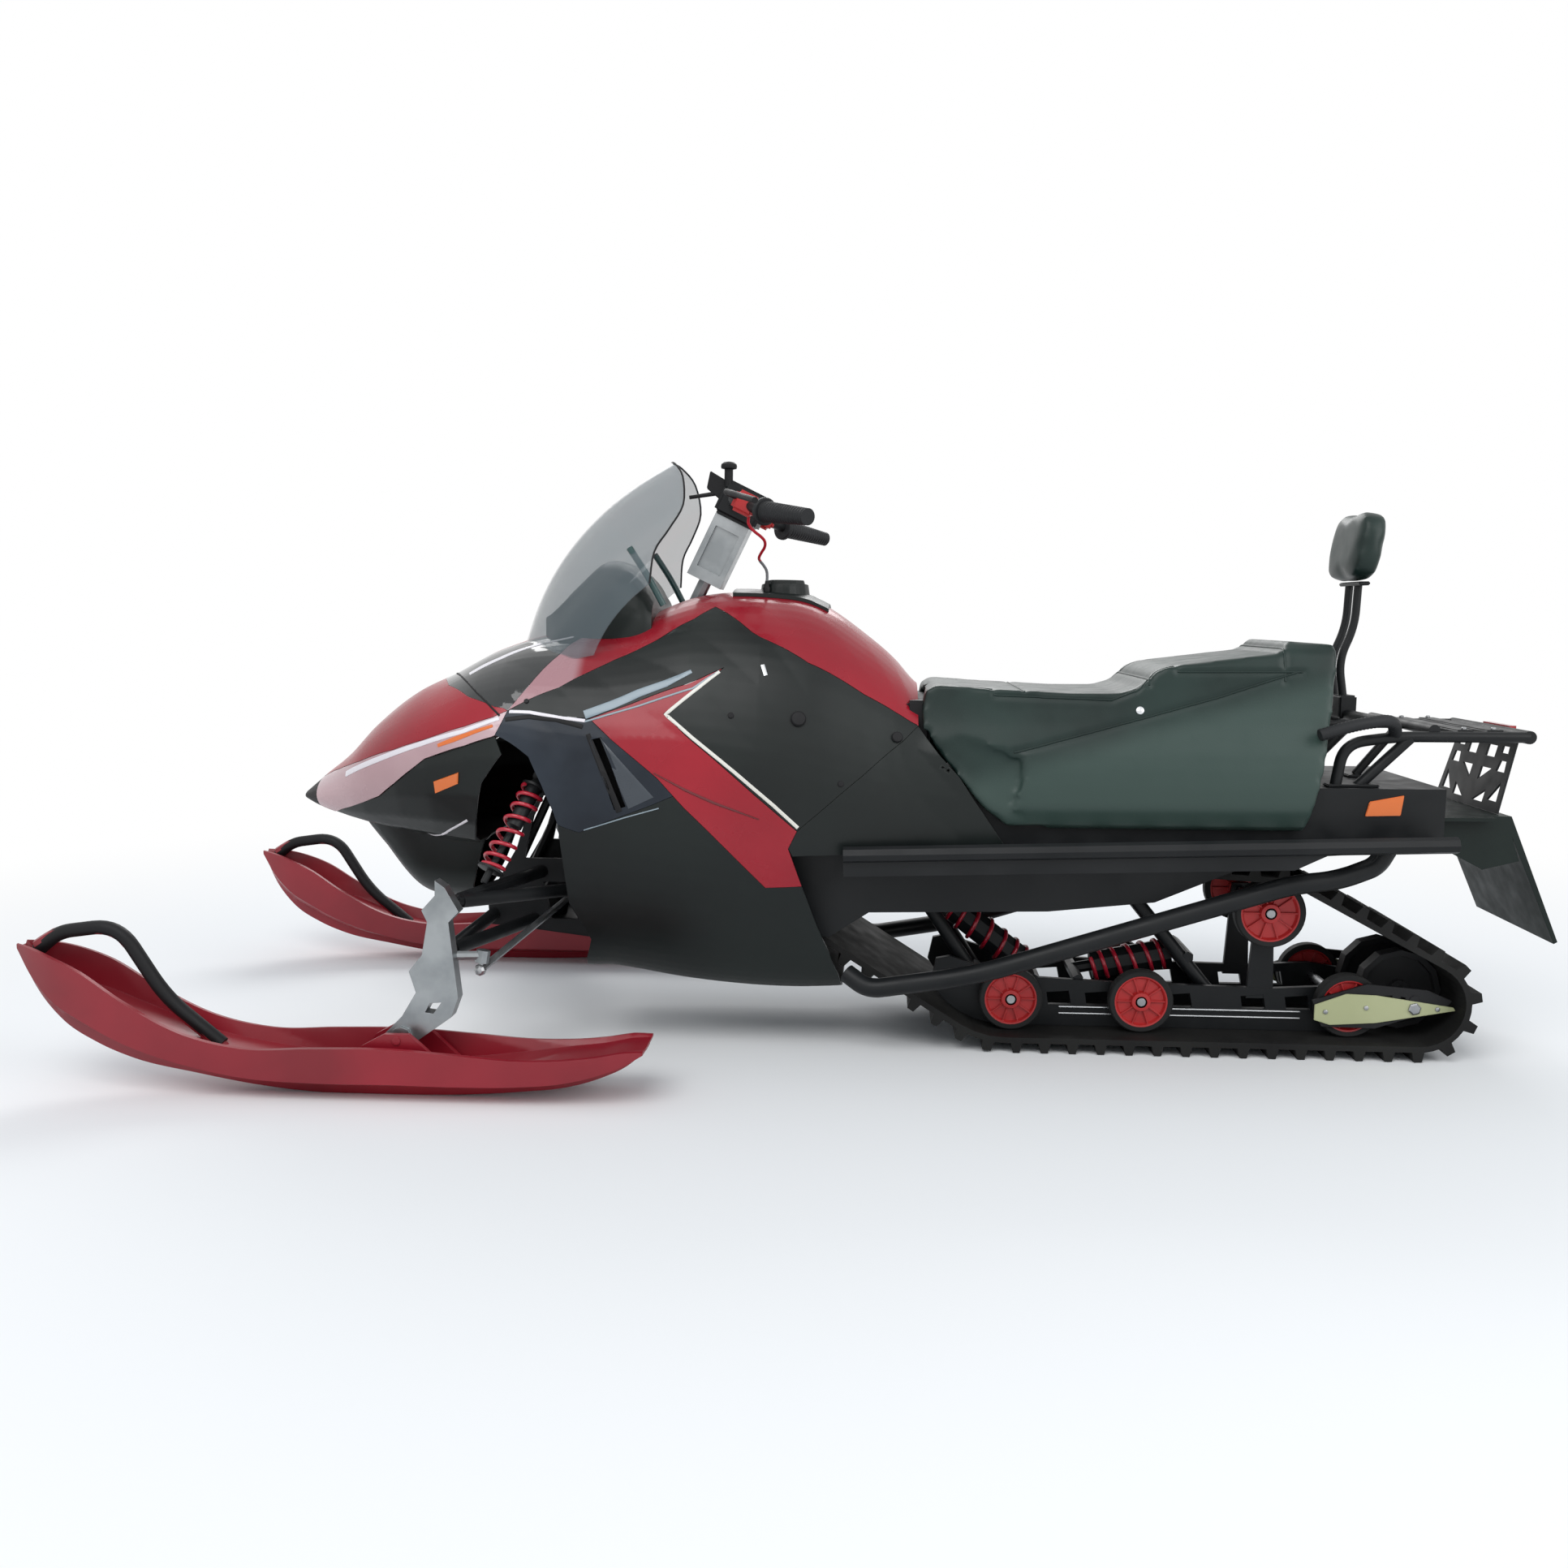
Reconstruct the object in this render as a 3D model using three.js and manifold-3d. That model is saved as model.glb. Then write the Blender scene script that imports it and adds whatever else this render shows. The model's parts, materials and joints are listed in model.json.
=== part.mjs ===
// A utility snowmobile: two plastic skis on a double-arm front suspension, a moulded cowl
// over the engine, a tunnel with running boards, a slide-rail skid inside one rubber track,
// a long two-level seat with a small backrest, and a tubular rack over the snow flap.
//
// Units are millimetres. +X is forward, +Y is the rider's left, +Z is up. The floor is Z = 0.

import * as THREE from "three";
import { mergeVertices } from "three/addons/utils/BufferGeometryUtils.js";
import Module from "manifold-3d";

const wasm = await Module();
wasm.setup();

// ---------------------------------------------------------------- driving dimensions

const SKI_TIP_X = 1484; // foremost point
const FLAP_REAR_X = -1484; // rearmost point
const SKI_STANCE = 1000; // between the centre lines of the skis
const SKI_WIDTH = 136;
const SEAM = 0.8; // gap between two body panels
const FIT = 0.3; // gap between two faces that touch
const PANEL = 5; // thickness of a moulded panel
const SHEET = 4; // thickness of the tunnel's sheet metal

const TRACK = { width: 380, belt: 12, lug: 20, lugPitch: 57, lugFoot: 24, lugTip: 14 };
const TRACK_SIDE = 13; // between the edge of the track and the outer face of the tunnel
const TUNNEL = { front: 95, rear: -1240, halfWidth: TRACK.width / 2 + TRACK_SIDE, top: 555, skirt: 300 };
const INSIDE = TUNNEL.halfWidth - SHEET - FIT; // half width of what seats between the tunnel's sides
const BOARD = { front: -70, rear: -1226, width: 97, frontZ: 424, rearZ: 458, tube: 16 };

const DRIVE = { x: 0, z: 345, radius: 75 }; // inner face of the belt round the drive axle
const RAIL_NOSE = { x: -400, z: 202, radius: 170 };
const IDLER = { x: -1225, z: 117, radius: 85 };
const CARRIER = { x: -936, z: 289, radius: 72 };
const RAIL = { y: 95, thickness: 12 };
const WHEEL = { radius: 66, width: 26, y: 128, hub: 20 };
const AXLE_RADIUS = 10;
const FLOOR_RUN = 32; // height of the inner face of the belt over the floor
const WHEEL_X = { front: -416, middle: -683, rear: -1100 };

const STEER_FOOT = [560, 0, 318]; // lower end of the steering post
const STEER_LEAN = Math.atan(0.5); // the post leans back by this much
const RISER = { from: 722, to: 862, length: 78, width: 66, pocket: 9, rim: 12 }; // along the post
const BAR_HEIGHT = 901; // of the handlebar, along the post
const BAR_RADIUS = 11;
const PITMAN = { height: 34, reach: 52, thickness: 10, spread: 26 };

const KINGPIN = { x: 668, y: SKI_STANCE / 2 - 22, z: 300, lean: 10, tuck: 5 }; // angles in degrees
const ARM_JOINT = { upper: 56, lower: -40, ball: 10, socket: 11 }; // along the kingpin from its reference point
const TIE_JOINT = { x: 607, y: KINGPIN.y - 13, z: 229, pin: 14, pinRadius: 5 };
const SKI_BOLT = { x: 745, z: 112, radius: 8 }; // the bolt on which a ski rocks

const RACK = { y: TUNNEL.halfWidth - 33, z: 655, rear: -1402, tube: 11, crossX: -1100, crossZ: 688 };
const PAD = { x: -1114, z: 1031, width: 190, depth: 46, height: 138, lean: 9 };

const SWITCH = { at: [-30, 190], half: 22 }; // housing on the bar: x and y of its middle

const SHELL_TOP = 1000; // above every panel
const SHELL_SIDE = 420; // beyond every panel

// ---------------------------------------------------------------- solids

function solid(geometry) {
  const bare = geometry.clone();
  bare.deleteAttribute("normal");
  bare.deleteAttribute("uv");
  const merged = mergeVertices(bare, 1e-3);
  const mesh = new wasm.Mesh({
    numProp: 3,
    vertProperties: merged.attributes.position.array,
    triVerts: new Uint32Array(merged.index.array),
  });
  return new wasm.Manifold(mesh);
}

function join(first, ...rest) {
  return rest.reduce((sum, next) => sum.add(next), first);
}

function cut(base, ...tools) {
  return tools.reduce((left, tool) => left.subtract(tool), base);
}

function move(body, x, y, z) {
  return body.translate([x, y, z]);
}

// The same solid on the other side of the machine.
function mirrored(body) {
  return body.mirror([0, 1, 0]);
}

function shapeOf(points) {
  return new THREE.Shape(points.map(([a, b]) => new THREE.Vector2(a, b)));
}

// A flat shape given in (x, z), standing upright between two values of y.
function upright(shape, y0, y1) {
  const geometry = new THREE.ExtrudeGeometry(shape, { depth: y1 - y0, bevelEnabled: false, curveSegments: 12 });
  geometry.rotateX(Math.PI / 2).translate(0, y1, 0);
  return solid(geometry);
}

// A flat shape given in (y, z), across the machine between two values of x.
function across(shape, x0, x1, curveSegments = 12) {
  const geometry = new THREE.ExtrudeGeometry(shape, { depth: x1 - x0, bevelEnabled: false, curveSegments });
  const turn = new THREE.Matrix4().makeBasis(
    new THREE.Vector3(0, 1, 0),
    new THREE.Vector3(0, 0, 1),
    new THREE.Vector3(1, 0, 0),
  );
  geometry.applyMatrix4(turn).translate(x0, 0, 0);
  return solid(geometry);
}

function block(x0, x1, y0, y1, z0, z1) {
  const geometry = new THREE.BoxGeometry(x1 - x0, y1 - y0, z1 - z0);
  geometry.translate((x0 + x1) / 2, (y0 + y1) / 2, (z0 + z1) / 2);
  return solid(geometry);
}

// A round bar between two points.
function bar(from, to, radius, radiusTo = radius, sides = 8) {
  const a = new THREE.Vector3(...from);
  const b = new THREE.Vector3(...to);
  const axis = b.clone().sub(a);
  const geometry = new THREE.CylinderGeometry(radiusTo, radius, axis.length(), sides);
  const turn = new THREE.Quaternion().setFromUnitVectors(new THREE.Vector3(0, 1, 0), axis.clone().normalize());
  geometry.applyQuaternion(turn);
  geometry.translate(...a.add(b).multiplyScalar(0.5).toArray());
  return solid(geometry);
}

// A path through given stations, with one station at each end of every step of a sweep.
class Stations extends THREE.Curve {
  constructor(points) {
    super();
    this.points = points;
  }

  getPoint(t) {
    const at = t * (this.points.length - 1);
    const i = Math.min(Math.floor(at + 1e-9), this.points.length - 2);
    return this.points[i].clone().lerp(this.points[i + 1], at - i);
  }

  getPointAt(u) {
    return this.getPoint(u);
  }

  getTangentAt(u) {
    const i = Math.round(u * (this.points.length - 1));
    const before = this.points[Math.max(i - 1, 0)];
    const after = this.points[Math.min(i + 1, this.points.length - 1)];
    return after.clone().sub(before).normalize();
  }
}

// A tube along straight runs, with a few stations round each bend.
function bentTube(points, radius, bend, sides = 8) {
  const stops = points.map((p) => new THREE.Vector3(...p));
  const stations = [stops[0]];
  for (let i = 1; i < stops.length - 1; i++) {
    const corner = stops[i];
    const before = corner.clone().sub(stops[i - 1]);
    const after = stops[i + 1].clone().sub(corner);
    const reach = Math.min(bend, before.length() * 0.48, after.length() * 0.48);
    const enter = corner.clone().addScaledVector(before.normalize(), -reach);
    const leave = corner.clone().addScaledVector(after.normalize(), reach);
    stations.push(...new THREE.QuadraticBezierCurve3(enter, corner, leave).getPoints(3));
  }
  stations.push(stops.at(-1));
  return sweep(new Stations(stations), radius, stations.length - 1, sides);
}

function sweep(path, radius, steps, sides = 8) {
  const section = new THREE.Shape();
  for (let i = 0; i < sides; i++) {
    const angle = (i / sides) * 2 * Math.PI;
    const point = [radius * Math.cos(angle), radius * Math.sin(angle)];
    if (i === 0) section.moveTo(...point);
    else section.lineTo(...point);
  }
  section.closePath();
  return solid(new THREE.ExtrudeGeometry(section, { extrudePath: path, steps, bevelEnabled: false }));
}

// A body of revolution about an axis along Y, from rows of [radius, y] that start and end on the axis.
function turned(rows, x, z, segments = 12) {
  const geometry = new THREE.LatheGeometry(rows.map(([r, y]) => new THREE.Vector2(r, y)), segments);
  geometry.translate(x, 0, z);
  return solid(geometry);
}

// A closed skin through rings that have the same number of points, with flat ends.
function loft(rings) {
  const count = rings[0].length;
  const position = rings.flat().flatMap((p) => [p.x, p.y, p.z]);
  const index = [];
  for (let r = 0; r + 1 < rings.length; r++) {
    for (let i = 0; i < count; i++) {
      const a = r * count + i;
      const b = r * count + ((i + 1) % count);
      index.push(a, b, b + count, a, b + count, a + count);
    }
  }
  const flat = rings[0].map((p) => new THREE.Vector2(p.y, p.z));
  const last = (rings.length - 1) * count;
  const flatLast = rings.at(-1).map((p) => new THREE.Vector2(p.y, p.z));
  for (const [a, b, c] of THREE.ShapeUtils.triangulateShape(flat, [])) index.push(a, b, c);
  for (const [a, b, c] of THREE.ShapeUtils.triangulateShape(flatLast, [])) index.push(last + a, last + c, last + b);
  const geometry = new THREE.BufferGeometry();
  geometry.setAttribute("position", new THREE.Float32BufferAttribute(position, 3));
  geometry.setIndex(index);
  return solid(geometry);
}

// Half an outline that bends smoothly near each inner corner, in (y, z).
function softened(corners, steps) {
  const points = [new THREE.Vector2(...corners[0])];
  for (let i = 1; i < corners.length - 1; i++) {
    const here = new THREE.Vector2(...corners[i]);
    const before = new THREE.Vector2(...corners[i - 1]);
    const after = new THREE.Vector2(...corners[i + 1]);
    const enter = i === 1 ? before : before.lerp(here, 0.5);
    const leave = i === corners.length - 2 ? after : after.lerp(here, 0.5);
    const arc = new THREE.QuadraticBezierCurve(enter, here, leave);
    points.push(...arc.getPoints(steps).slice(1));
  }
  return points;
}

// A whole ring at one x, from the half outline that runs from the top centre to the bottom centre.
function ringAt(x, half) {
  const left = half.map((p) => new THREE.Vector3(x, p.x, p.y));
  const right = half.slice(1, -1).reverse().map((p) => new THREE.Vector3(x, -p.x, p.y));
  return [...left, ...right];
}

// An outline in (x, z) with every edge moved inwards by a distance.
function inset(points, distance) {
  const area = points.reduce((sum, [x, z], i) => {
    const [nx, nz] = points[(i + 1) % points.length];
    return sum + x * nz - nx * z;
  }, 0);
  const side = Math.sign(area);
  const edges = points.map((a, i) => {
    const b = points[(i + 1) % points.length];
    const along = new THREE.Vector2(b[0] - a[0], b[1] - a[1]).normalize();
    const normal = new THREE.Vector2(-along.y * side, along.x * side);
    return { origin: new THREE.Vector2(...a).addScaledVector(normal, distance), along };
  });
  return edges.map((edge, i) => {
    const last = edges[(i + edges.length - 1) % edges.length];
    const gap = edge.origin.clone().sub(last.origin);
    const turn = last.along.cross(edge.along);
    const t = gap.cross(edge.along) / turn;
    const point = last.origin.clone().addScaledVector(last.along, t);
    return [point.x, point.y];
  });
}

// ---------------------------------------------------------------- the cowl's skin

// One row per section of the cowl, from the nose to the rider's knees.
// x, top z, half width of the shoulder, half width and z of the flank, half width and z of the floor
const COWL = [
  [1119, 512, 30, 58, 501, 40, 490],
  [1075, 548, 52, 100, 512, 80, 478],
  [999, 606, 80, 160, 545, 120, 460],
  [942, 664, 100, 205, 575, 150, 450],
  [848, 735, 125, 262, 612, 190, 440],
  [770, 771, 140, 300, 632, 215, 430],
  [682, 817, 150, 325, 650, 235, 420],
  [624, 838, 155, 335, 655, 245, 400],
  [500, 862, 160, 340, 640, 265, 185],
  [396, 880, 165, 342, 620, 262, 172],
  [240, 934, 168, 340, 600, 255, 146],
  [100, 938, 170, 330, 570, 245, 132],
  [4, 924, 165, 315, 545, 240, 130],
  [-108, 852, 160, 290, 525, 235, 140],
  [-169, 800, 165, 275, 515, 235, 160],
  [-212, 752, 180, 265, 510, 235, 180],
  [-300, 720, 220, 250, 500, 235, 220],
  [-420, 700, 225, 240, 500, 232, 260],
];

function cowlVolume(wall) {
  const rows = COWL.map(([x, top, shoulder, flank, flankZ, floor, floorZ], i) => {
    const end = i === 0 ? -wall * 2 : i === COWL.length - 1 ? -wall * 4 : 0;
    const corners = [
      [0, top - wall],
      [shoulder - wall / 2, top - wall],
      [flank - wall, flankZ],
      [floor - wall, floorZ + wall],
      [floor / 2, floorZ + wall],
      [0, floorZ + wall],
    ];
    return ringAt(x + end, softened(corners, 3));
  });
  return loft(rows);
}

// The left half of a body together with its mirror image, so that both sides match exactly.
function evened(body) {
  const left = body.intersect(block(FLAP_REAR_X, SKI_TIP_X, 0, SHELL_SIDE, 0, SHELL_TOP + 300));
  return left.add(mirrored(left));
}

const outerSkin = evened(cowlVolume(0));
const innerSkin = evened(cowlVolume(PANEL));
const shell = outerSkin.subtract(innerSkin);

// Places where the panels of the left flank meet, in (x, z). The right flank mirrors them.
const AT = {
  tipFoot: [1072, 440],
  tipTop: [1084, 640],
  tipMiddle: [1079, 540],
  trimFront: [1035, 560],
  trimLowFront: [1040, 470],
  trimLow: [893, 520],
  trimRear: [770, 606],
  trimEnd: [618, 655],
  cowlFront: [598, 700],
  lampFront: [800, 762],
  lampRear: [455, 862],
  wedge: [500, 828],
  wedgeLow: [480, 758],
  panelRise: [316, 838],
  panelTop: [200, 902],
  tankCorner: [-216, 670],
  kneeFront: [21, 472],
  chevronTop: [171, 782],
  chevronApex: [284, 697],
  accentFront: [430, 688],
  accentMid: [294, 574],
  ventCorner: [262, 540],
  accentLow: [84, 357],
  accentRear: [12, 360],
  bellyTop: [38, 437],
  bellyRear: [-58, 177],
  ventLow: [448, 466],
  ventMid: [520, 560],
};

function panel(outline, y0, y1) {
  return shell.intersect(upright(shapeOf(inset(outline, SEAM / 2)), y0, y1));
}

const FLANK_FROM = 60; // a flank's panels lie outside this y

function flankPanel(outline) {
  return panel(outline, FLANK_FROM, SHELL_SIDE);
}

// ---------------------------------------------------------------- body panels

function hood() {
  const whole = panel(
    [
      AT.tipTop,
      AT.tipMiddle,
      AT.trimFront,
      AT.cowlFront,
      AT.wedge,
      AT.lampRear,
      [450, SHELL_TOP],
      [1084, SHELL_TOP],
    ],
    -SHELL_SIDE,
    SHELL_SIDE,
  );
  return cut(whole, lampPocket(), mirrored(lampPocket()));
}

const LAMP = [AT.lampFront, [608, 706], AT.cowlFront, AT.wedge, AT.lampRear, [560, 868], [690, 836]];

const LAMP_FROM = 62; // inner end of a headlight in y

function lampPocket() {
  return upright(shapeOf(LAMP), LAMP_FROM, SHELL_SIDE);
}

function headlight() {
  return panel(LAMP, LAMP_FROM + SEAM, SHELL_SIDE);
}

function noseTrim() {
  return panel(
    [
      AT.tipMiddle,
      AT.trimFront,
      AT.cowlFront,
      AT.trimEnd,
      AT.trimRear,
      AT.trimLow,
      AT.trimLowFront,
      AT.tipFoot,
    ],
    -SHELL_SIDE,
    SHELL_SIDE,
  );
}

const POST_HOLE = 22; // radius of the hole for the steering post

function tankCover() {
  const whole = panel(
    [
      [450, SHELL_TOP],
      AT.lampRear,
      AT.wedge,
      AT.cowlFront,
      AT.wedgeLow,
      AT.panelRise,
      AT.panelTop,
      AT.tankCorner,
      [-216, SHELL_TOP],
    ],
    -SHELL_SIDE,
    SHELL_SIDE,
  );
  return cut(whole, onPost(bar([0, 0, 500], [0, 0, 760], POST_HOLE, POST_HOLE, 16)));
}

function sidePanel() {
  return flankPanel([
    AT.cowlFront,
    AT.wedgeLow,
    AT.panelRise,
    AT.panelTop,
    AT.tankCorner,
    AT.kneeFront,
    AT.chevronApex,
    AT.chevronTop,
    AT.accentFront,
  ]);
}

function sideAccent() {
  return flankPanel([
    AT.accentFront,
    AT.chevronTop,
    AT.chevronApex,
    AT.kneeFront,
    AT.bellyTop,
    AT.accentRear,
    AT.accentLow,
    AT.ventCorner,
    AT.accentMid,
  ]);
}

const VENT_SLOT = [[425, 650], [405, 655], [355, 520], [378, 512]]; // in (x, z)

function ventPanel() {
  const whole = flankPanel([
    AT.cowlFront,
    AT.accentFront,
    AT.accentMid,
    AT.ventCorner,
    AT.ventLow,
    [492, 480],
    AT.ventMid,
    [548, 612],
    AT.trimEnd,
  ]);
  return cut(whole, upright(shapeOf(VENT_SLOT), FLANK_FROM, SHELL_SIDE));
}

function bellyPan() {
  return panel(
    [
      AT.ventLow,
      AT.ventCorner,
      AT.accentLow,
      AT.accentRear,
      AT.bellyRear,
      [-75, 100],
      [485, 100],
      [440, 250],
      [478, 330],
      [492, 480],
    ],
    -SHELL_SIDE,
    SHELL_SIDE,
  );
}

function kneePanel() {
  return flankPanel([
    AT.tankCorner,
    AT.kneeFront,
    AT.bellyTop,
    [30, boardTop(30)],
    [-392, boardTop(-392)],
    [-296, 575],
  ]);
}

// ---------------------------------------------------------------- nose

// One row per section of the lower nose: x, top z, half width at the top, half width and z of the floor
const NOSE = [
  [996, 500, 84, 76, 484],
  [924, 560, 120, 92, 378],
  [856, 600, 138, 100, 292],
  [806, 612, 146, 104, 276],
  [700, 620, 152, 110, 288],
  [585, 640, 152, 110, 440],
];

function noseVolume(wall) {
  const rings = NOSE.map(([x, top, wide, floor, floorZ], i) => {
    const end = i === 0 ? -wall * 1.5 : i === NOSE.length - 1 ? -wall * 4 : 0;
    const corners = [
      [0, top + wall],
      [wide - wall, top + wall],
      [wide - wall, (top + floorZ) / 2],
      [floor - wall, floorZ + wall],
      [0, floorZ + wall],
    ];
    return ringAt(x + end, softened(corners, 3));
  });
  return loft(rings);
}

// The rear edge of the lower nose, round the open bay of the suspension, in (x, z).
const BAY = [
  [745, 290],
  [700, 402],
  [674, 480],
  [650, 560],
  [604, 620],
];

function noseCowl() {
  const brow = panel(
    [
      [AT.tipFoot[0], AT.tipFoot[1]],
      AT.trimLowFront,
      AT.trimLow,
      AT.trimRear,
      AT.trimEnd,
      ...BAY.toReversed(),
      [AT.tipFoot[0], 290],
    ],
    -SHELL_SIDE,
    SHELL_SIDE,
  );
  const bay = upright(shapeOf([[BAY[0][0], 100], ...BAY, [540, 640], [540, 100]]), -SHELL_SIDE, SHELL_SIDE);
  const chin = cut(noseVolume(0), noseVolume(PANEL), bay, innerSkin);
  return join(brow, chin);
}

function frontBumper() {
  return panel([[1200, 700], [1200, 400], AT.tipFoot, AT.tipMiddle, AT.tipTop], -SHELL_SIDE, SHELL_SIDE);
}

// ---------------------------------------------------------------- windshield and dash

// One row per rib of the windshield: y, x and z of the lower edge, x and z of the upper edge
const SHIELD = [
  [0, 626, 852, 306, 1212],
  [45, 624, 850, 292, 1205],
  [90, 608, 850, 270, 1174],
  [130, 578, 852, 264, 1115],
  [165, 538, 856, 288, 1064],
  [190, 488, 862, 314, 1018],
  [205, 430, 872, 322, 955],
];

// The glass stands forward of the straight line between its edges by this much at the middle, in x and z.
const SHIELD_BULGE = [124, 52];
const SHIELD_FOOT = 60; // how far the glass reaches down before it is cut to the cowl

function windshield() {
  const rows = [...SHIELD.slice(1).reverse().map(([y, ...rest]) => [-y, ...rest]), ...SHIELD];
  const front = rows.map(([y, x0, z0, x1, z1]) => {
    const share = 1 - Math.abs(y) / 260;
    const foot = new THREE.Vector3(x0 + 8, y, z0 - SHIELD_FOOT);
    const tip = new THREE.Vector3(x1, y, z1);
    const belly = foot.clone().lerp(tip, 0.5);
    belly.x += SHIELD_BULGE[0] * share;
    belly.z += SHIELD_BULGE[1] * share;
    return new THREE.QuadraticBezierCurve3(foot, belly, tip).getPoints(6);
  });
  const sheet = slab(front, new THREE.Vector3(-0.8, 0, -0.6).multiplyScalar(PANEL));
  return cut(sheet, outerSkin, move(outerSkin, 0, 0, FIT));
}

// A sheet between a grid of points and the same grid moved by an offset.
function slab(grid, offset) {
  const rows = grid.length;
  const columns = grid[0].length;
  const top = grid.flat();
  const points = [...top, ...top.map((p) => p.clone().add(offset))];
  const at = (r, c, side) => side * rows * columns + r * columns + c;
  const index = [];
  const quad = (a, b, c, d) => index.push(a, b, c, a, c, d);
  for (let r = 0; r + 1 < rows; r++) {
    for (let c = 0; c + 1 < columns; c++) {
      quad(at(r, c, 0), at(r + 1, c, 0), at(r + 1, c + 1, 0), at(r, c + 1, 0));
      quad(at(r, c, 1), at(r, c + 1, 1), at(r + 1, c + 1, 1), at(r + 1, c, 1));
    }
  }
  for (let r = 0; r + 1 < rows; r++) {
    quad(at(r, 0, 0), at(r, 0, 1), at(r + 1, 0, 1), at(r + 1, 0, 0));
    quad(at(r, columns - 1, 0), at(r + 1, columns - 1, 0), at(r + 1, columns - 1, 1), at(r, columns - 1, 1));
  }
  for (let c = 0; c + 1 < columns; c++) {
    quad(at(0, c, 0), at(0, c + 1, 0), at(0, c + 1, 1), at(0, c, 1));
    quad(at(rows - 1, c, 0), at(rows - 1, c, 1), at(rows - 1, c + 1, 1), at(rows - 1, c + 1, 0));
  }
  const geometry = new THREE.BufferGeometry();
  geometry.setAttribute("position", new THREE.Float32BufferAttribute(points.flatMap((p) => p.toArray()), 3));
  geometry.setIndex(index);
  return solid(geometry);
}

// One row per section of the dash: x, top z, half width at the top, half width at the foot
const DASH = [
  [575, 868, 26, 44],
  [550, 902, 54, 76],
  [495, 962, 84, 112],
  [440, 1006, 98, 138],
  [400, 1002, 104, 150],
  [345, 960, 104, 152],
  [330, 930, 94, 146],
];

function dashPod() {
  const rings = DASH.map(([x, top, wide, foot]) =>
    ringAt(x, softened([[0, top], [wide, top], [foot, 900], [foot, 800], [0, 800]], 4)),
  );
  return cut(loft(rings), outerSkin, move(outerSkin, 0, 0, FIT));
}

const CAP = { at: [66, 954], radius: 54, height: 30 }; // at is x and z of its top
const DECK = { front: 170, rear: -30, half: 70, thickness: 8 };

// The deck plate with the cap of the fuel tank.
function fillerCap() {
  const [x, z] = CAP.at;
  const plate = outerSkin.intersect(block(DECK.rear, DECK.front, -DECK.half, DECK.half, 700, SHELL_TOP));
  const deck = cut(move(plate, 0, 0, DECK.thickness), outerSkin, move(outerSkin, 0, 0, FIT));
  const ring = new THREE.CylinderGeometry(CAP.radius - 4, CAP.radius, CAP.height, 24);
  const knob = new THREE.CylinderGeometry(CAP.radius - 12, CAP.radius - 9, 12, 10);
  const parts = [
    solid(ring.rotateX(Math.PI / 2).translate(x, 0, z - CAP.height / 2)),
    solid(knob.rotateX(Math.PI / 2).translate(x, 0, z + 4)),
  ];
  return join(deck, cut(join(...parts), move(outerSkin, 0, 0, FIT)));
}

// ---------------------------------------------------------------- tunnel and boards

function boardTop(x) {
  const share = (BOARD.front - x) / (BOARD.front - BOARD.rear);
  return BOARD.frontZ + share * (BOARD.rearZ - BOARD.frontZ);
}

function tunnel() {
  const w = TUNNEL.halfWidth;
  const hat = shapeOf([
    [w, 180],
    [w, TUNNEL.top],
    [-w, TUNNEL.top],
    [-w, 180],
    [-w + SHEET, 180],
    [-w + SHEET, TUNNEL.top - SHEET],
    [w - SHEET, TUNNEL.top - SHEET],
    [w - SHEET, 180],
  ]);
  const channel = across(hat, TUNNEL.rear, TUNNEL.front);
  const skirt = upright(
    shapeOf([
      [TUNNEL.front, 640],
      [TUNNEL.front, 240],
      [-40, 240],
      [-120, 292],
      [-480, TUNNEL.skirt],
      [-690, TUNNEL.skirt + 22],
      [-900, 412],
      [TUNNEL.rear, 436],
      [TUNNEL.rear, 640],
    ]),
    -SHELL_SIDE,
    SHELL_SIDE,
  );
  return channel.intersect(skirt);
}

// The row of holes that lets snow through a board: first and last x, pitch, length, and margin to each edge.
const BOARD_HOLES = { from: -180, to: -1150, pitch: 90, length: 56, margin: 28 };

function runningBoard() {
  const slope = (x, drop) => [x, boardTop(x) - drop];
  const inner = TUNNEL.halfWidth + FIT;
  const outer = inner + BOARD.width;
  const plate = upright(
    shapeOf([slope(BOARD.front, 0), slope(BOARD.front, SHEET), slope(BOARD.rear, SHEET), slope(BOARD.rear, 0)]),
    inner,
    outer,
  );
  const { from, to, pitch, length, margin } = BOARD_HOLES;
  const holes = [];
  for (let x = from; x > to; x -= pitch) {
    holes.push(block(x - length / 2, x + length / 2, inner + margin, outer - margin, 380, 500));
  }
  const lip = upright(
    shapeOf([
      slope(BOARD.front, 0),
      slope(BOARD.front, 40),
      slope(-930, 40),
      slope(-1000, 8),
      slope(BOARD.rear, 8),
      slope(BOARD.rear, 0),
    ]),
    outer - SHEET,
    outer,
  );
  const edgeAt = (x) => [x, outer, boardTop(x) + 4];
  return join(cut(plate, ...holes), lip, bar(edgeAt(BOARD.front), edgeAt(BOARD.rear), BOARD.tube));
}

function sideTube() {
  const y = TUNNEL.halfWidth + 43;
  return bentTube(
    [
      [-1118, y, boardTop(-1118) - SHEET - FIT],
      [-1100, y, 410],
      [-1030, y, 381],
      [-945, y, 371],
      [-330, y, 176],
      [-120, y - 6, 142],
      [-76, y - 30, 168],
    ],
    19,
    70,
  );
}

// ---------------------------------------------------------------- seat and backrest

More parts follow.
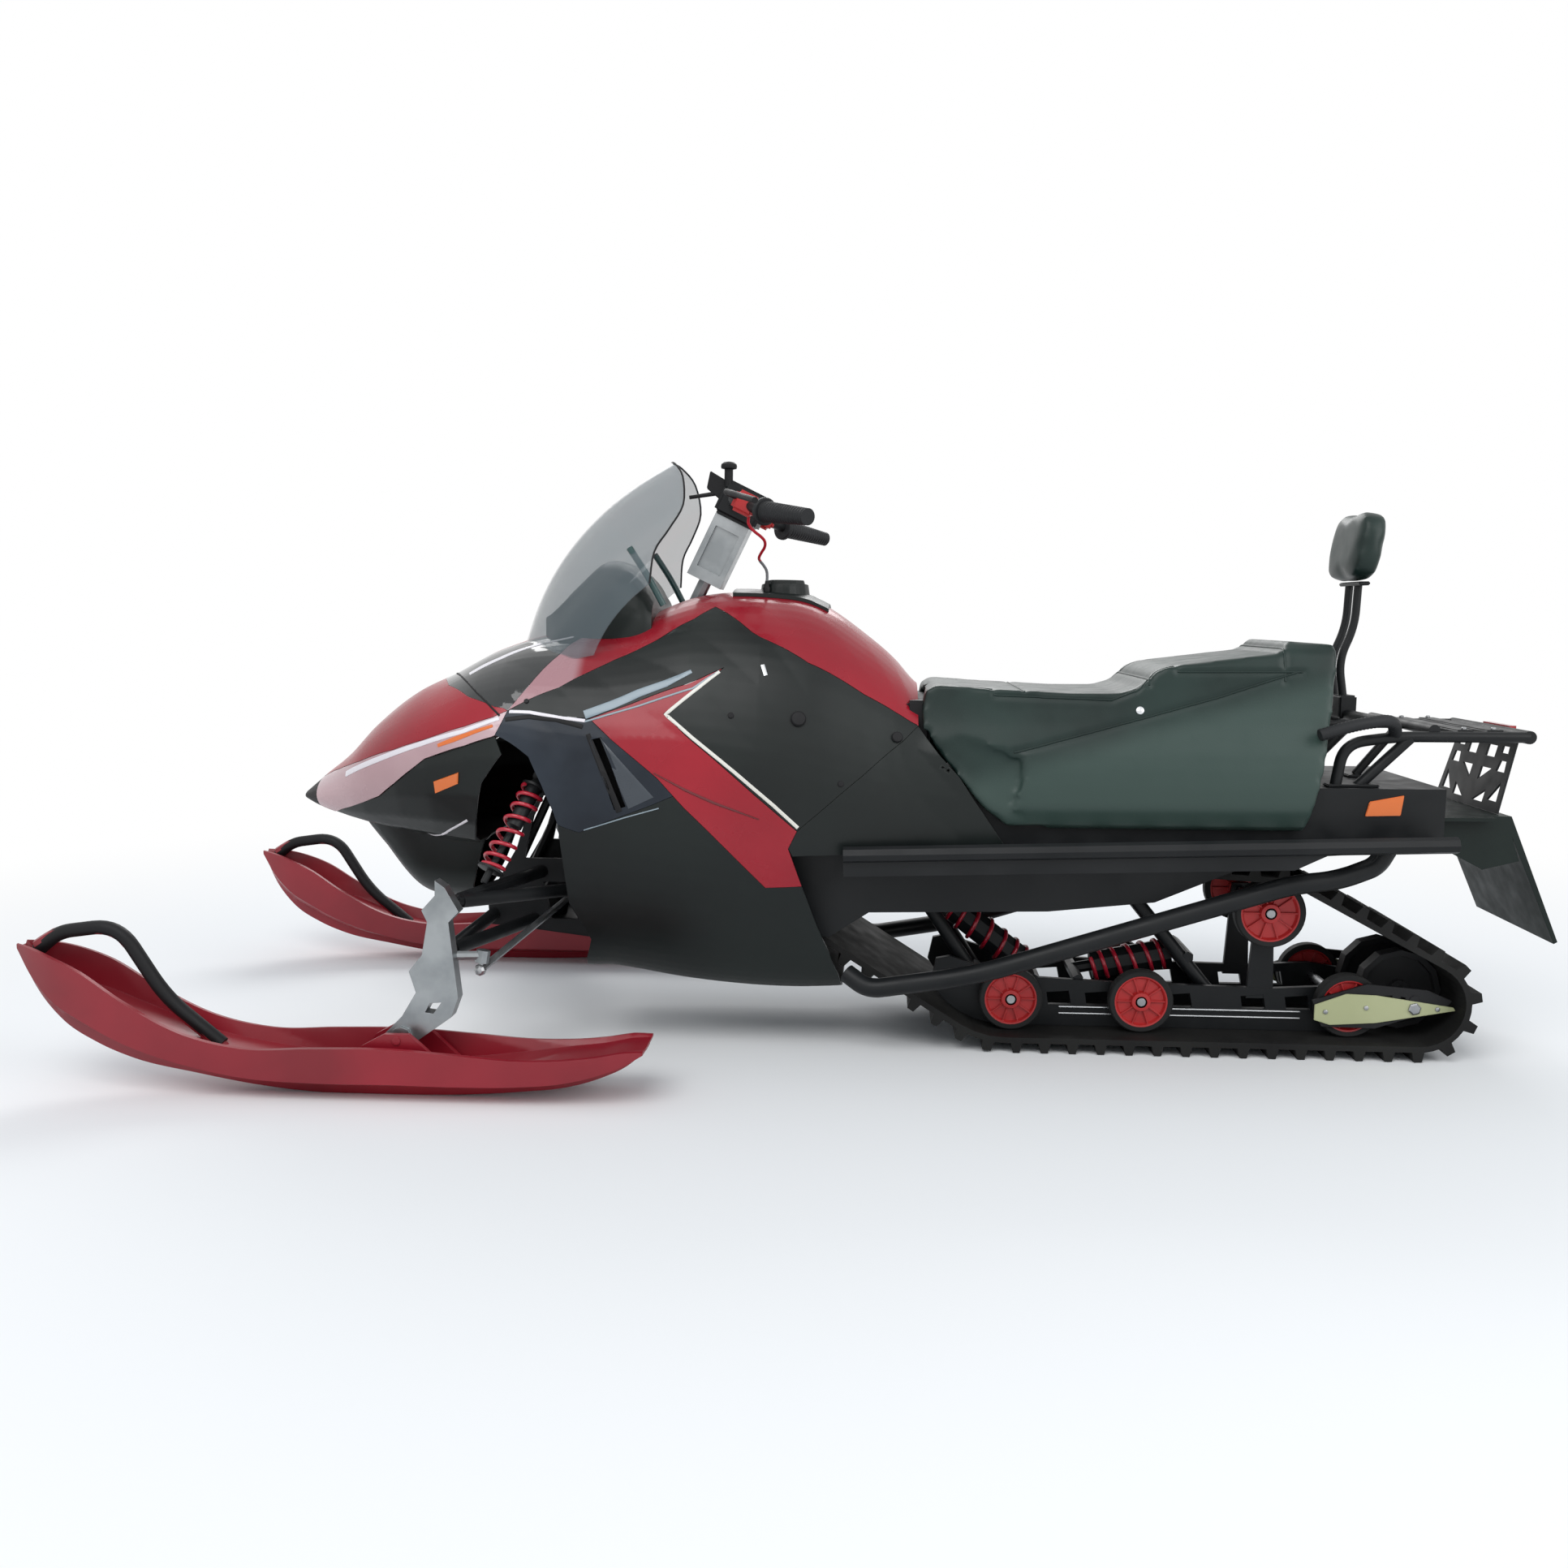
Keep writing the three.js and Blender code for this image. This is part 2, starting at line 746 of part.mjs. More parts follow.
// The seat seen from the side, in (x, z), from the front of the top round to the front of the foot.
const SEAT_SIDE = [
  [-222, 700],
  [-228, 742],
  [-250, 755],
  [-330, 749],
  [-515, 739],
  [-612, 739],
  [-648, 750],
  [-686, 784],
  [-712, 793],
  [-920, 818],
  [-942, 841],
  [-1034, 834],
  [-1030, 800],
  [-1020, 700],
  [-1000, 590],
  [-968, boardTop(-968) + 14],
  [-754, boardTop(-754) + 6],
  [-508, boardTop(-508) + 6],
  [-306, 585],
  [-224, 662],
];

function seat() {
  const side = upright(shapeOf(SEAT_SIDE), -SHELL_SIDE, SHELL_SIDE);
  const w = TUNNEL.halfWidth;
  const half = softened([[0, 870], [w - 27, 870], [w - 12, 700], [w + 32, 600], [w + 38, 430], [0, 430]], 4);
  const section = half.map((p) => [p.x, p.y]);
  const mirror = section.slice(1, -1).reverse().map(([y, z]) => [-y, z]);
  const width = across(shapeOf([...section, ...mirror]), -1100, -200);
  const saddle = block(-1300, 0, -w - FIT, w + FIT, 300, TUNNEL.top + FIT);
  const cowl = outerSkin.intersect(block(-500, 0, -SHELL_SIDE, SHELL_SIDE, 400, 800));
  return cut(side.intersect(width), saddle, cowl, move(cowl, -FIT, 0, 0), move(cowl, 0, FIT, 0), move(cowl, 0, -FIT, 0));
}

function backrestPad() {
  const w = PAD.width / 2;
  const h = PAD.height / 2;
  const r = 44;
  const face = new THREE.Shape();
  face.moveTo(-w + r, -h);
  face.lineTo(w - r, -h);
  face.absarc(w - r, -h + r, r, -Math.PI / 2, 0);
  face.absarc(w - r, h - r, r, 0, Math.PI / 2);
  face.absarc(-w + r, h - r, r, Math.PI / 2, Math.PI);
  face.absarc(-w + r, -h + r, r, Math.PI, 1.5 * Math.PI);
  const body = across(face, -PAD.depth / 2, PAD.depth / 2, 5);
  return move(body.rotate([0, -PAD.lean, 0]), PAD.x, 0, PAD.z);
}

const POST = { y: 26, radius: 8 };

function backrestFrame() {
  const padFoot = PAD.z - PAD.height / 2;
  const posts = [1, -1].map((side) =>
    bentTube(
      [
        [PAD.x + 1, side * POST.y, padFoot - FIT],
        [PAD.x + 4, side * POST.y, 868],
        [PAD.x + 32, side * POST.y, 800],
        [RACK.crossX, side * POST.y, RACK.crossZ],
      ],
      POST.radius,
      40,
    ),
  );
  const plate = block(PAD.x - 11, PAD.x + 11, -60, 60, padFoot - 10, padFoot - 2);
  const clamp = block(
    RACK.crossX - 18,
    RACK.crossX + 18,
    -POST.y - 16,
    POST.y + 16,
    RACK.crossZ + RACK.tube + FIT,
    RACK.crossZ + 40,
  );
  const rackBar = bar([RACK.crossX, -250, RACK.crossZ], [RACK.crossX, 250, RACK.crossZ], RACK.tube + FIT);
  const pad = backrestPad();
  return cut(join(...posts, plate, clamp), rackBar, pad, move(pad, 0, 0, -FIT));
}

// ---------------------------------------------------------------- rack and flap

function rearRack() {
  const foot = TUNNEL.top + FIT;
  const { y, z, rear, tube, crossX, crossZ } = RACK;
  const rails = [1, -1].map((side) =>
    bentTube([[-1040, side * y, foot + 4], [-1052, side * y, 640], [-1150, side * y, z], [rear, side * y, z]], tube, 60),
  );
  const struts = [1, -1].map((side) => bar([-1078, side * (y - 8), 540], [-1178, side * y, z - 3], tube, tube, 6));
  const feet = [1, -1].map((side) => block(-1120, -1020, side * y - 16, side * y + 16, foot, foot + 6));
  const grips = [1, -1].map((side) =>
    bentTube(
      [
        [-985, side * (y + 62), 662],
        [-1060, side * (y + 56), 684],
        [-1128, side * (y + 45), 692],
        [-1150, side * y, 660],
      ],
      12,
      30,
      6,
    ),
  );
  const rearBar = bar([rear, -y - 6, z], [rear, y + 6, z], tube + 2);
  const midBar = bar([-1224, -y, 668], [-1224, y, 668], tube);
  const frontBar = bar([crossX, -y - 42, crossZ], [crossX, y + 42, crossZ], tube);
  const brace = bar([-1222, 0, 668], [-1136, 0, foot + 4], 9);
  const shoe = block(-1160, -1116, -22, 22, foot, foot + 6);
  const slats = [-1284, -1340].map((x) => block(x - 18, x + 18, -y, y, z + 4, z + 14));
  const whole = join(...rails, ...feet, ...struts, ...grips, rearBar, midBar, frontBar, brace, shoe, ...slats);
  return cut(whole, block(-1240, -1000, -260, 260, 400, foot));
}

// Openings of one half of the rack bracket, in (y, z) from the middle of its lower edge.
const BRACKET_HOLES = [
  [[24, 14], [70, 14], [70, 40]],
  [[88, 22], [128, 22], [124, 62]],
  [[20, 56], [66, 84], [20, 84]],
  [[86, 82], [122, 82], [118, 104], [92, 104]],
  [[22, 108], [62, 108], [62, 132], [22, 132]],
  [[84, 120], [114, 120], [112, 134], [84, 134]],
];

function rackBracket() {
  const w = RACK.y - 24;
  const h = 160;
  const plate = across(shapeOf([[-w, 0], [w, 0], [w - 14, h], [-w + 14, h]]), -SHEET, 0);
  const holes = BRACKET_HOLES.map((points) => across(shapeOf(points), -2 * SHEET, SHEET));
  const flat = cut(plate, ...holes, ...holes.map(mirrored));
  const rearBar = bar([RACK.rear, -w, RACK.z], [RACK.rear, w, RACK.z], RACK.tube + 2 + FIT);
  return cut(move(flat.rotate([0, -14, 0]), -1362, 0, 500.5), rearBar);
}

function snowFlap() {
  const t = 7;
  const half = INSIDE - 27;
  const profile = shapeOf([
    [TUNNEL.rear - FIT, 492],
    [-1350, 492],
    [-1372, 484],
    [FLAP_REAR_X + t, 244],
    [FLAP_REAR_X, 248],
    [-1380, 492 + t],
    [TUNNEL.rear - FIT, 492 + t],
  ]);
  const shelf = block(-1340, -1180, -INSIDE, INSIDE, 492, 492 + t);
  const sheet = upright(profile, -half, half);
  const side = shapeOf([
    [TUNNEL.rear - FIT, 440],
    [TUNNEL.rear - FIT, 496],
    [-1372, 490],
    [-1400, 410],
    [-1330, 392],
  ]);
  const gusset = upright(side, half - SHEET, half);
  return join(sheet, shelf, gusset, mirrored(gusset));
}

// ---------------------------------------------------------------- track

// The points of a belt wound round circles given in order, each with its own radius, anticlockwise.
function wound(circles, offset) {
  const tangents = circles.map((a, i) => {
    const b = circles[(i + 1) % circles.length];
    const centre = new THREE.Vector2(b.x - a.x, b.z - a.z);
    const turn = Math.asin((a.radius - b.radius) / centre.length());
    return centre.angle() - Math.PI / 2 + turn;
  });
  const points = [];
  circles.forEach((circle, i) => {
    const from = tangents[(i + circles.length - 1) % circles.length];
    let sweepAngle = tangents[i] - from;
    while (sweepAngle < 0) sweepAngle += 2 * Math.PI;
    const steps = Math.max(2, Math.ceil(sweepAngle / 0.2));
    for (let s = 0; s <= steps; s++) {
      const angle = from + (sweepAngle * s) / steps;
      const radius = circle.radius + offset;
      points.push(new THREE.Vector2(circle.x + radius * Math.cos(angle), circle.z + radius * Math.sin(angle)));
    }
  });
  return points;
}

const LOOP = [RAIL_NOSE, IDLER, CARRIER, DRIVE].reverse();

function track() {
  const outer = wound(LOOP, TRACK.belt);
  outer.push(outer[0].clone());
  const path = new THREE.CurvePath();
  for (let i = 0; i + 1 < outer.length; i++) {
    if (outer[i].distanceTo(outer[i + 1]) > 1e-3) path.add(new THREE.LineCurve(outer[i], outer[i + 1]));
  }
  const length = path.getLength();
  const lugs = Math.round(length / TRACK.lugPitch);
  const pitch = length / lugs;
  const outline = [];
  const at = (distance, height) => {
    const u = (((distance / length) % 1) + 1) % 1;
    const point = path.getPointAt(u);
    const along = path.getTangentAt(u);
    return point.add(new THREE.Vector2(along.y, -along.x).multiplyScalar(height));
  };
  for (let i = 0; i < lugs; i++) {
    const middle = (i + 0.5) * pitch;
    outline.push(at(i * pitch, 0));
    outline.push(at(middle - TRACK.lugFoot / 2, 0));
    outline.push(at(middle - TRACK.lugTip / 2, TRACK.lug));
    outline.push(at(middle + TRACK.lugTip / 2, TRACK.lug));
    outline.push(at(middle + TRACK.lugFoot / 2, 0));
  }
  const shape = new THREE.Shape(outline);
  shape.holes.push(new THREE.Path(wound(LOOP, 0)));
  return upright(shape, -TRACK.width / 2, TRACK.width / 2);
}

// ---------------------------------------------------------------- skid

function railOutline() {
  const arc = [];
  for (let degrees = -28; degrees >= -90; degrees -= 10.3) {
    const angle = THREE.MathUtils.degToRad(degrees);
    const radius = RAIL_NOSE.radius - 4 * FIT;
    arc.push([RAIL_NOSE.x + radius * Math.cos(angle), RAIL_NOSE.z + radius * Math.sin(angle)]);
  }
  return [
    ...arc,
    [RAIL_NOSE.x, FLOOR_RUN + FIT],
    [-1150, FLOOR_RUN + FIT],
    [-1168, 60],
    [-1168, 118],
    [-1090, 130],
    [-960, 122],
    [-640, 128],
    [-420, 138],
    [-290, 178],
    [-262, 172],
  ];
}

// Where the arms of the skid meet the rails and the tunnel, in (x, z).
const SKID_ARM = {
  frontFoot: [-352, 118],
  frontTop: [-178, 380],
  rearFoot: [-842, 96],
  rearTop: [-636, 350],
};

function skidFrame() {
  const rail = upright(shapeOf(railOutline()), RAIL.y - RAIL.thickness / 2, RAIL.y + RAIL.thickness / 2);
  const windows = [-520, -600, -770, -920, -1010].map((x) =>
    upright(shapeOf([[x - 26, 78], [x + 22, 78], [x + 26, 104], [x - 20, 108]]), 60, 130),
  );
  const cutRail = cut(rail, ...windows);
  const carrierPost = upright(shapeOf([[-905, 100], [-960, 100], [-954, 306], [-918, 306]]), RAIL.y - 5, RAIL.y + 5);
  const side = join(cutRail, carrierPost);
  const shaft = ([x, z], half, radius) => bar([x, -half, z], [x, half, z], radius, radius, 6);
  const leg = (foot, top, y) => bar([foot[0], y, foot[1]], [top[0], y, top[1]], 14, 14, 6);
  const arms = [60, -60].flatMap((y) => [
    leg(SKID_ARM.frontFoot, SKID_ARM.frontTop, y),
    leg(SKID_ARM.rearFoot, SKID_ARM.rearTop, y),
  ]);
  const shock = [
    bar([-470, 0, 128], [-250, 0, 300], 13),
    bar([-445, 0, 148], [-295, 0, 265], 31),
    bar([-790, 0, 175], [-560, 0, 130], 13),
    bar([-765, 0, 170], [-600, 0, 138], 31),
  ];
  const crossings = [
    shaft([-470, 128], RAIL.y, 12),
    shaft([-560, 130], RAIL.y, 12),
    shaft([-242, 306], 74, 12),
    shaft([-790, 178], 74, 12),
  ];
  const whole = join(
    side,
    mirrored(side),
    shaft(SKID_ARM.frontFoot, RAIL.y, 16),
    shaft(SKID_ARM.rearFoot, RAIL.y, 16),
    shaft(SKID_ARM.frontTop, INSIDE, 13),
    shaft(SKID_ARM.rearTop, INSIDE, 13),
    ...arms,
    ...crossings,
    ...shock,
  );
  const bores = [
    ...Object.values(WHEEL_X).map((x) => [x, FLOOR_RUN + FIT + WHEEL.radius]),
    [CARRIER.x, CARRIER.z],
  ];
  return cut(whole, ...bores.map(([x, z]) => bar([x, -150, z], [x, 150, z], AXLE_RADIUS + 3 * FIT, AXLE_RADIUS + 3 * FIT, 12)));
}

// An axle with a wheel at each end: the wheel's outer radius, its middle y and its width.
function wheelSet(x, z, radius, y, width) {
  const half = width / 2;
  const side = [
    [0, 0],
    [AXLE_RADIUS, 0],
    [AXLE_RADIUS, y - half - 4],
    [WHEEL.hub, y - half - 4],
    [WHEEL.hub, y - 5],
    [radius - 14, y - 5],
    [radius - 12, y - half],
    [radius, y - half],
    [radius, y + half],
    [radius - 12, y + half],
    [radius - 14, y + 5],
    [WHEEL.hub, y + 5],
    [WHEEL.hub, y + half + 2],
    [0, y + half + 2],
  ];
  const left = turned(side, x, z);
  return join(left, mirrored(left));
}

function rollingSet(x) {
  return wheelSet(x, FLOOR_RUN + FIT + WHEEL.radius, WHEEL.radius, WHEEL.y, WHEEL.width);
}

function carrierWheels() {
  return wheelSet(CARRIER.x, CARRIER.z, CARRIER.radius - 3 * FIT, WHEEL.y, WHEEL.width);
}

// The adjustable rear axle: two idlers between the rails and a slotted plate outside each rail.
function rearIdlers() {
  const idlers = wheelSet(IDLER.x, IDLER.z, IDLER.radius - 3 * FIT, 56, 30);
  const axle = bar([IDLER.x, -152, IDLER.z], [IDLER.x, 152, IDLER.z], AXLE_RADIUS);
  const outline = shapeOf([
    [-1024, 112],
    [-1131, 148],
    [-1250, 138],
    [-1299, 117],
    [-1290, 104],
    [-1150, 56],
    [-1044, 58],
  ]);
  outline.holes.push(
    new THREE.Path([[-1150, 78], [-1150, 124], [-1182, 126], [-1182, 90]].map((p) => new THREE.Vector2(...p))),
    new THREE.Path([[-1198, 94], [-1198, 124], [-1208, 122], [-1206, 98]].map((p) => new THREE.Vector2(...p))),
  );
  const bore = bar([WHEEL_X.rear, 100, 98.3], [WHEEL_X.rear, 200, 98.3], AXLE_RADIUS + FIT);
  const plate = upright(outline, 144, 150);
  const spacer = bar([-1060, RAIL.y + RAIL.thickness / 2 + FIT, 84], [-1060, 146, 84], 9);
  const clear = bar([WHEEL_X.rear, 100, 98.3], [WHEEL_X.rear, 143.5, 98.3], WHEEL.radius + 2);
  const left = join(cut(plate, bore), cut(spacer, clear));
  return join(idlers, axle, left, mirrored(left));
}

function driveAxle() {
  const radius = DRIVE.radius - 3 * FIT;
  const teeth = 9;
  const outline = [];
  for (let i = 0; i < teeth * 4; i++) {
    const angle = ((i + 0.5) / (teeth * 4)) * 2 * Math.PI;
    const r = i % 4 < 2 ? radius : radius - 18;
    outline.push([DRIVE.x + r * Math.cos(angle), DRIVE.z + r * Math.sin(angle)]);
  }
  const sprocket = (y) => upright(shapeOf(outline), y - 16, y + 16);
  return join(bar([DRIVE.x, -INSIDE, DRIVE.z], [DRIVE.x, INSIDE, DRIVE.z], 14), sprocket(72), sprocket(-72));
}

// ---------------------------------------------------------------- front frame and suspension

// The axis of the left kingpin, pointing up.
function kingpinAxis() {
  const lean = Math.tan(THREE.MathUtils.degToRad(KINGPIN.lean));
  const tuck = Math.tan(THREE.MathUtils.degToRad(KINGPIN.tuck));
  return new THREE.Vector3(-lean, -tuck, 1).normalize();
}

function alongKingpin(distance) {
  return new THREE.Vector3(KINGPIN.x, KINGPIN.y, KINGPIN.z).addScaledVector(kingpinAxis(), distance);
}

const FRAME = { y: 118, thickness: 8, rear: 440, front: 690 };
const CRADLE = { rail: 160, deck: 214, bottom: 186 }; // outer face of a rail, and its top and bottom

function framePlate() {
  const outline = shapeOf([
    [FRAME.rear, 214],
    [FRAME.front, 236],
    [FRAME.front + 4, 292],
    [628, 402],
    [606, 470],
    [560, 588],
    [498, 588],
    [FRAME.rear, 470],
  ]);
  outline.holes.push(
    new THREE.Path([[520, 380], [612, 380], [590, 470], [556, 540], [520, 540]].map((p) => new THREE.Vector2(...p))),
    new THREE.Path([[500, 250], [556, 250], [572, 330], [500, 330]].map((p) => new THREE.Vector2(...p))),
  );
  return upright(outline, FRAME.y, FRAME.y + FRAME.thickness);
}

// The arms on the left: the height of the ball joint along the kingpin, and the pivots on the frame in (x, z).
const ARMS = {
  upper: { joint: ARM_JOINT.upper, front: [574, 352], rear: [470, 318] },
  lower: { joint: ARM_JOINT.lower, front: [682, 258], rear: [592, 248] },
};

// Two tubes that run from the frame to the ball joint on the spindle.
function suspensionArm({ joint, front, rear }) {
  const tip = alongKingpin(joint);
  const neck = tip.clone().setY(tip.y - 34);
  const pivot = ([x, z]) => [x, FRAME.y + 3, z];
  return join(
    bar(pivot(front), neck.toArray(), 13, 13, 6),
    bar(pivot(rear), neck.toArray(), 13, 13, 6),
    bar(neck.toArray(), tip.toArray(), 12, ARM_JOINT.ball / 2, 6),
    solid(new THREE.SphereGeometry(ARM_JOINT.ball, 8, 6).translate(...tip.toArray())),
    solid(new THREE.SphereGeometry(14, 6, 4).translate(...neck.toArray())),
  );
}

// The left side of the suspension: the frame's side plate, both arms and the pin of the coil-over.
function suspension() {
  const [x, y, z] = SHOCK.top;
  const pin = bar([x, FRAME.y + 4, z], [x, y - SHOCK.eye - FIT, z], 9);
  return join(framePlate(), suspensionArm(ARMS.upper), suspensionArm(ARMS.lower), pin);
}

function frameFloor() {
  const half = FRAME.y - FIT;
  const side = shapeOf([
    [FRAME.rear - 24, 206],
    [FRAME.rear + 6, 206],
    [FRAME.front, 236],
    [FRAME.front, 244],
    [FRAME.rear, 222],
    [FRAME.rear - 24, 222],
  ]);
  return upright(side, -half, half);
}

// What joins the two sides: cross tubes and their braces, a floor and the engine's cradle.
function frontFrame() {
  const half = FRAME.y - FIT;
  const crossbar = (x, z, radius) => bar([x, -half, z], [x, half, z], radius, radius, 6);
  const floor = frameFloor();
  const { rail, deck, bottom } = CRADLE;
  const inner = rail - 30;
  const wing = TUNNEL.halfWidth + 3;
  const upright1 = block(TUNNEL.front + FIT, 112, wing - 13, wing, bottom, 300);
  const side = block(97, FRAME.rear + 6, inner, rail, bottom, deck);
  const cradle = join(
    side,
    mirrored(side),
    block(97, 127, -wing, wing, bottom, deck),
    upright1,
    mirrored(upright1),
    block(FRAME.rear - 24, FRAME.rear + 6, -rail, rail, bottom, deck - FIT),
  );
  const brace = bar([530, 90, 578], [650, 90, 330], 9, 9, 6);
  const strut = bar([645, 0, 236], [650, 0, 330], 9, 9, 6);
  return join(
    crossbar(530, 578, 9),
    crossbar(650, 330, 11),
    brace,
    mirrored(brace),
    strut,
    floor,
    cradle,
  );
}

// A point on the steering post, by its distance from the post's foot.
function onAxis(distance) {
  return new THREE.Vector3(...STEER_FOOT).addScaledVector(
    new THREE.Vector3(-Math.sin(STEER_LEAN), 0, Math.cos(STEER_LEAN)),
    distance,
  );
}

// A coil-over: its spring is a ridged sleeve between two collars.
const BEARING = { radius: 30, height: 40 }; // at the foot of the steering post
const SHOCK = { top: [542, 240, 570], along: 0.68, over: 16, body: 17, wire: 27, groove: 21, coils: 6, eye: 11 };

function shock() {
  const top = new THREE.Vector3(...SHOCK.top);
  const neck = alongKingpin(ARMS.upper.joint);
  const pivot = new THREE.Vector3(ARMS.upper.front[0], FRAME.y, ARMS.upper.front[1]);
  const bottom = pivot.lerp(neck, SHOCK.along);
  bottom.z += SHOCK.over;
  const length = top.distanceTo(bottom);
  const ridges = [];
  for (let i = 0; i < SHOCK.coils; i++) {
    const start = length * (0.16 + (0.66 * i) / SHOCK.coils);
    const pitch = (length * 0.66) / SHOCK.coils;
    ridges.push([SHOCK.groove, start], [SHOCK.wire, start + pitch * 0.3], [SHOCK.wire, start + pitch * 0.7]);
  }
  const rows = [
    [0, 0],
    [SHOCK.body / 2, 0],
    [SHOCK.body / 2, length * 0.1],
    [SHOCK.body, length * 0.1],
    ...ridges,
    [SHOCK.groove, length * 0.82],
    [SHOCK.body / 2, length * 0.86],
    [SHOCK.body / 2, length],
    [0, length],
  ];
  const turn = new THREE.Quaternion().setFromUnitVectors(
    new THREE.Vector3(0, 1, 0),
    bottom.clone().sub(top).normalize(),
  );
  const sleeve = new THREE.LatheGeometry(rows.map(([r, t]) => new THREE.Vector2(r, t)), 10);
  sleeve.applyQuaternion(turn).translate(...SHOCK.top);
  const [x, y, z] = SHOCK.top;
  const eye = bar([x, y - SHOCK.eye, z], [x, y + SHOCK.eye, z], 14, 14, 12);
  const arm = suspensionArm(ARMS.upper);
  return cut(join(solid(sleeve), eye), arm, move(arm, 0, 0, FIT));
}

// ---------------------------------------------------------------- spindle and ski

function spindle() {
  const y = KINGPIN.y;
  const web = upright(
    shapeOf([
      [655, 395],
      [673, 408],
      [674, 380],
      [700, 352],
      [690, 330],
      [702, 268],
      [728, 236],
      [716, 196],
      [744, 150],
      [776, 118],
      [768, 92],
      [738, 86],
      [718, 102],
      [650, 150],
      [636, 186],
      [650, 330],
      [630, 350],
    ]),
    y + 6,
    y + 34,
  );
  const window = upright(shapeOf([[668, 178], [690, 176], [700, 158], [684, 156]]), y, y + 40);
  const bosses = [ARM_JOINT.upper, ARM_JOINT.lower].map((height) => {
    const point = alongKingpin(height);
    return bar(point.toArray(), [point.x, y + 20, point.z], 18, 18, 14);
  });
  const sockets = [ARM_JOINT.upper, ARM_JOINT.lower].map((height) =>
    solid(new THREE.SphereGeometry(ARM_JOINT.socket, 12, 8).translate(...alongKingpin(height).toArray())),
  );
  const tie = new THREE.Vector3(TIE_JOINT.x, TIE_JOINT.y, TIE_JOINT.z);
  const above = (distance) => tie.clone().addScaledVector(kingpinAxis(), distance).toArray();
  const arm = bar([668, y + 14, 262], above(TIE_JOINT.pin + 14), 9);
  const eye = bar(above(TIE_JOINT.pin), above(TIE_JOINT.pin + 24), 13);
  const lift = bar([SKI_BOLT.x, y - 4, SKI_BOLT.z], [SKI_BOLT.x, SKI_STANCE / 2 + 20, SKI_BOLT.z], 20);
  const boreRadius = SKI_BOLT.radius + 2 * FIT;
  const bore = bar([SKI_BOLT.x, y - 60, SKI_BOLT.z], [SKI_BOLT.x, y + 80, SKI_BOLT.z], boreRadius, boreRadius, 16);
  return cut(join(cut(web, window), ...bosses, arm, eye, lift), bore, ...sockets);
}

// One row per section of a ski: x, floor of the keel, top of the rim, how much each side draws in, and the
// depth of the deck under the rim
const SKI = [
  [283, 98, 107, 10, 3],
  [320, 66, 106, 6, 6],
  [364, 44, 98, 4, 8],
  [435, 22, 90, 2, 10],
  [514, 12, 88, 0, 20],
  [631, 3, 96, 0, 42],
  [756, 0, 104, 0, 52],
  [901, 0, 102, 0, 44],
  [1030, 12, 99, 0, 26],
  [1147, 32, 124, 2, 26],
  [1266, 57, 185, 6, 40],
  [1339, 87, 232, 11, 56],
  [1401, 127, 258, 20, 60],
  [1447, 185, 271, 34, 44],
  [SKI_TIP_X, 262, 276, 50, 6],
];

function skiBody() {
  const rings = SKI.map(([x, low, high, drawn, deck]) => {
    const half = SKI_WIDTH / 2 - drawn;
    const rim = Math.min(8, half / 4);
    const keel = Math.min(16, half / 2);
    const shoulder = low + (high - low) * 0.35;
    const outline = [
      [0, high - deck],
      [half - rim * 2, high - deck],
      [half - rim, high],
      [half, high - 1],
      [half, shoulder],
      [keel + 6, low + (high - low) * 0.18],
      [keel, low],
      [0, low],
    ];
    const left = outline.map(([y, z]) => new THREE.Vector3(x, y, z));
    const right = outline.slice(1, -1).reverse().map(([y, z]) => new THREE.Vector3(x, -y, z));
    return [...left, ...right];
  });
  return loft(rings.reverse());
}

function ski() {
  const y = SKI_STANCE / 2;
  const handle = bentTube(
    [
      [1452, 0, 268],
      [1410, 0, 296],
      [1292, 0, 312],
      [1206, 0, 172],
      [1096, 0, 76],
    ],
    13,
    50,
  );
  const cheek = upright(
    shapeOf([
      [640, 50],
      [690, 96],
      [722, 124],
      [768, 124],
      [812, 100],
      [860, 50],
    ]),
    32,
    42,
  );
  const bolt = bar([SKI_BOLT.x, -44, SKI_BOLT.z], [SKI_BOLT.x, 44, SKI_BOLT.z], SKI_BOLT.radius, SKI_BOLT.radius, 16);
  return move(join(skiBody(), handle, cheek, mirrored(cheek), bolt), 0, y, 0);
}

function tieRod() {
  const inner = onAxis(PITMAN.height - PITMAN.thickness - 16).add(rearward(PITMAN.reach));
  const outer = new THREE.Vector3(TIE_JOINT.x, TIE_JOINT.y, TIE_JOINT.z);
  const pin = outer.clone().addScaledVector(kingpinAxis(), TIE_JOINT.pin - FIT);
  const end = [inner.x, PITMAN.spread + 4, inner.z];
  return join(
    bar(end, outer.toArray(), 7),
    solid(new THREE.SphereGeometry(12, 8, 6).translate(...outer.toArray())),
    solid(new THREE.SphereGeometry(12, 8, 6).translate(...end)),
    bar(outer.toArray(), pin.toArray(), TIE_JOINT.pinRadius),
  );
}

// A step back from the steering post, square to it.
function rearward(distance) {
  return new THREE.Vector3(-Math.cos(STEER_LEAN), 0, -Math.sin(STEER_LEAN)).multiplyScalar(distance);
}

// ---------------------------------------------------------------- steering

// A solid drawn about the upright Z axis, set on the steering post.
function onPost(body) {
  return body.rotate([0, -THREE.MathUtils.radToDeg(STEER_LEAN), 0]).translate(STEER_FOOT);
}

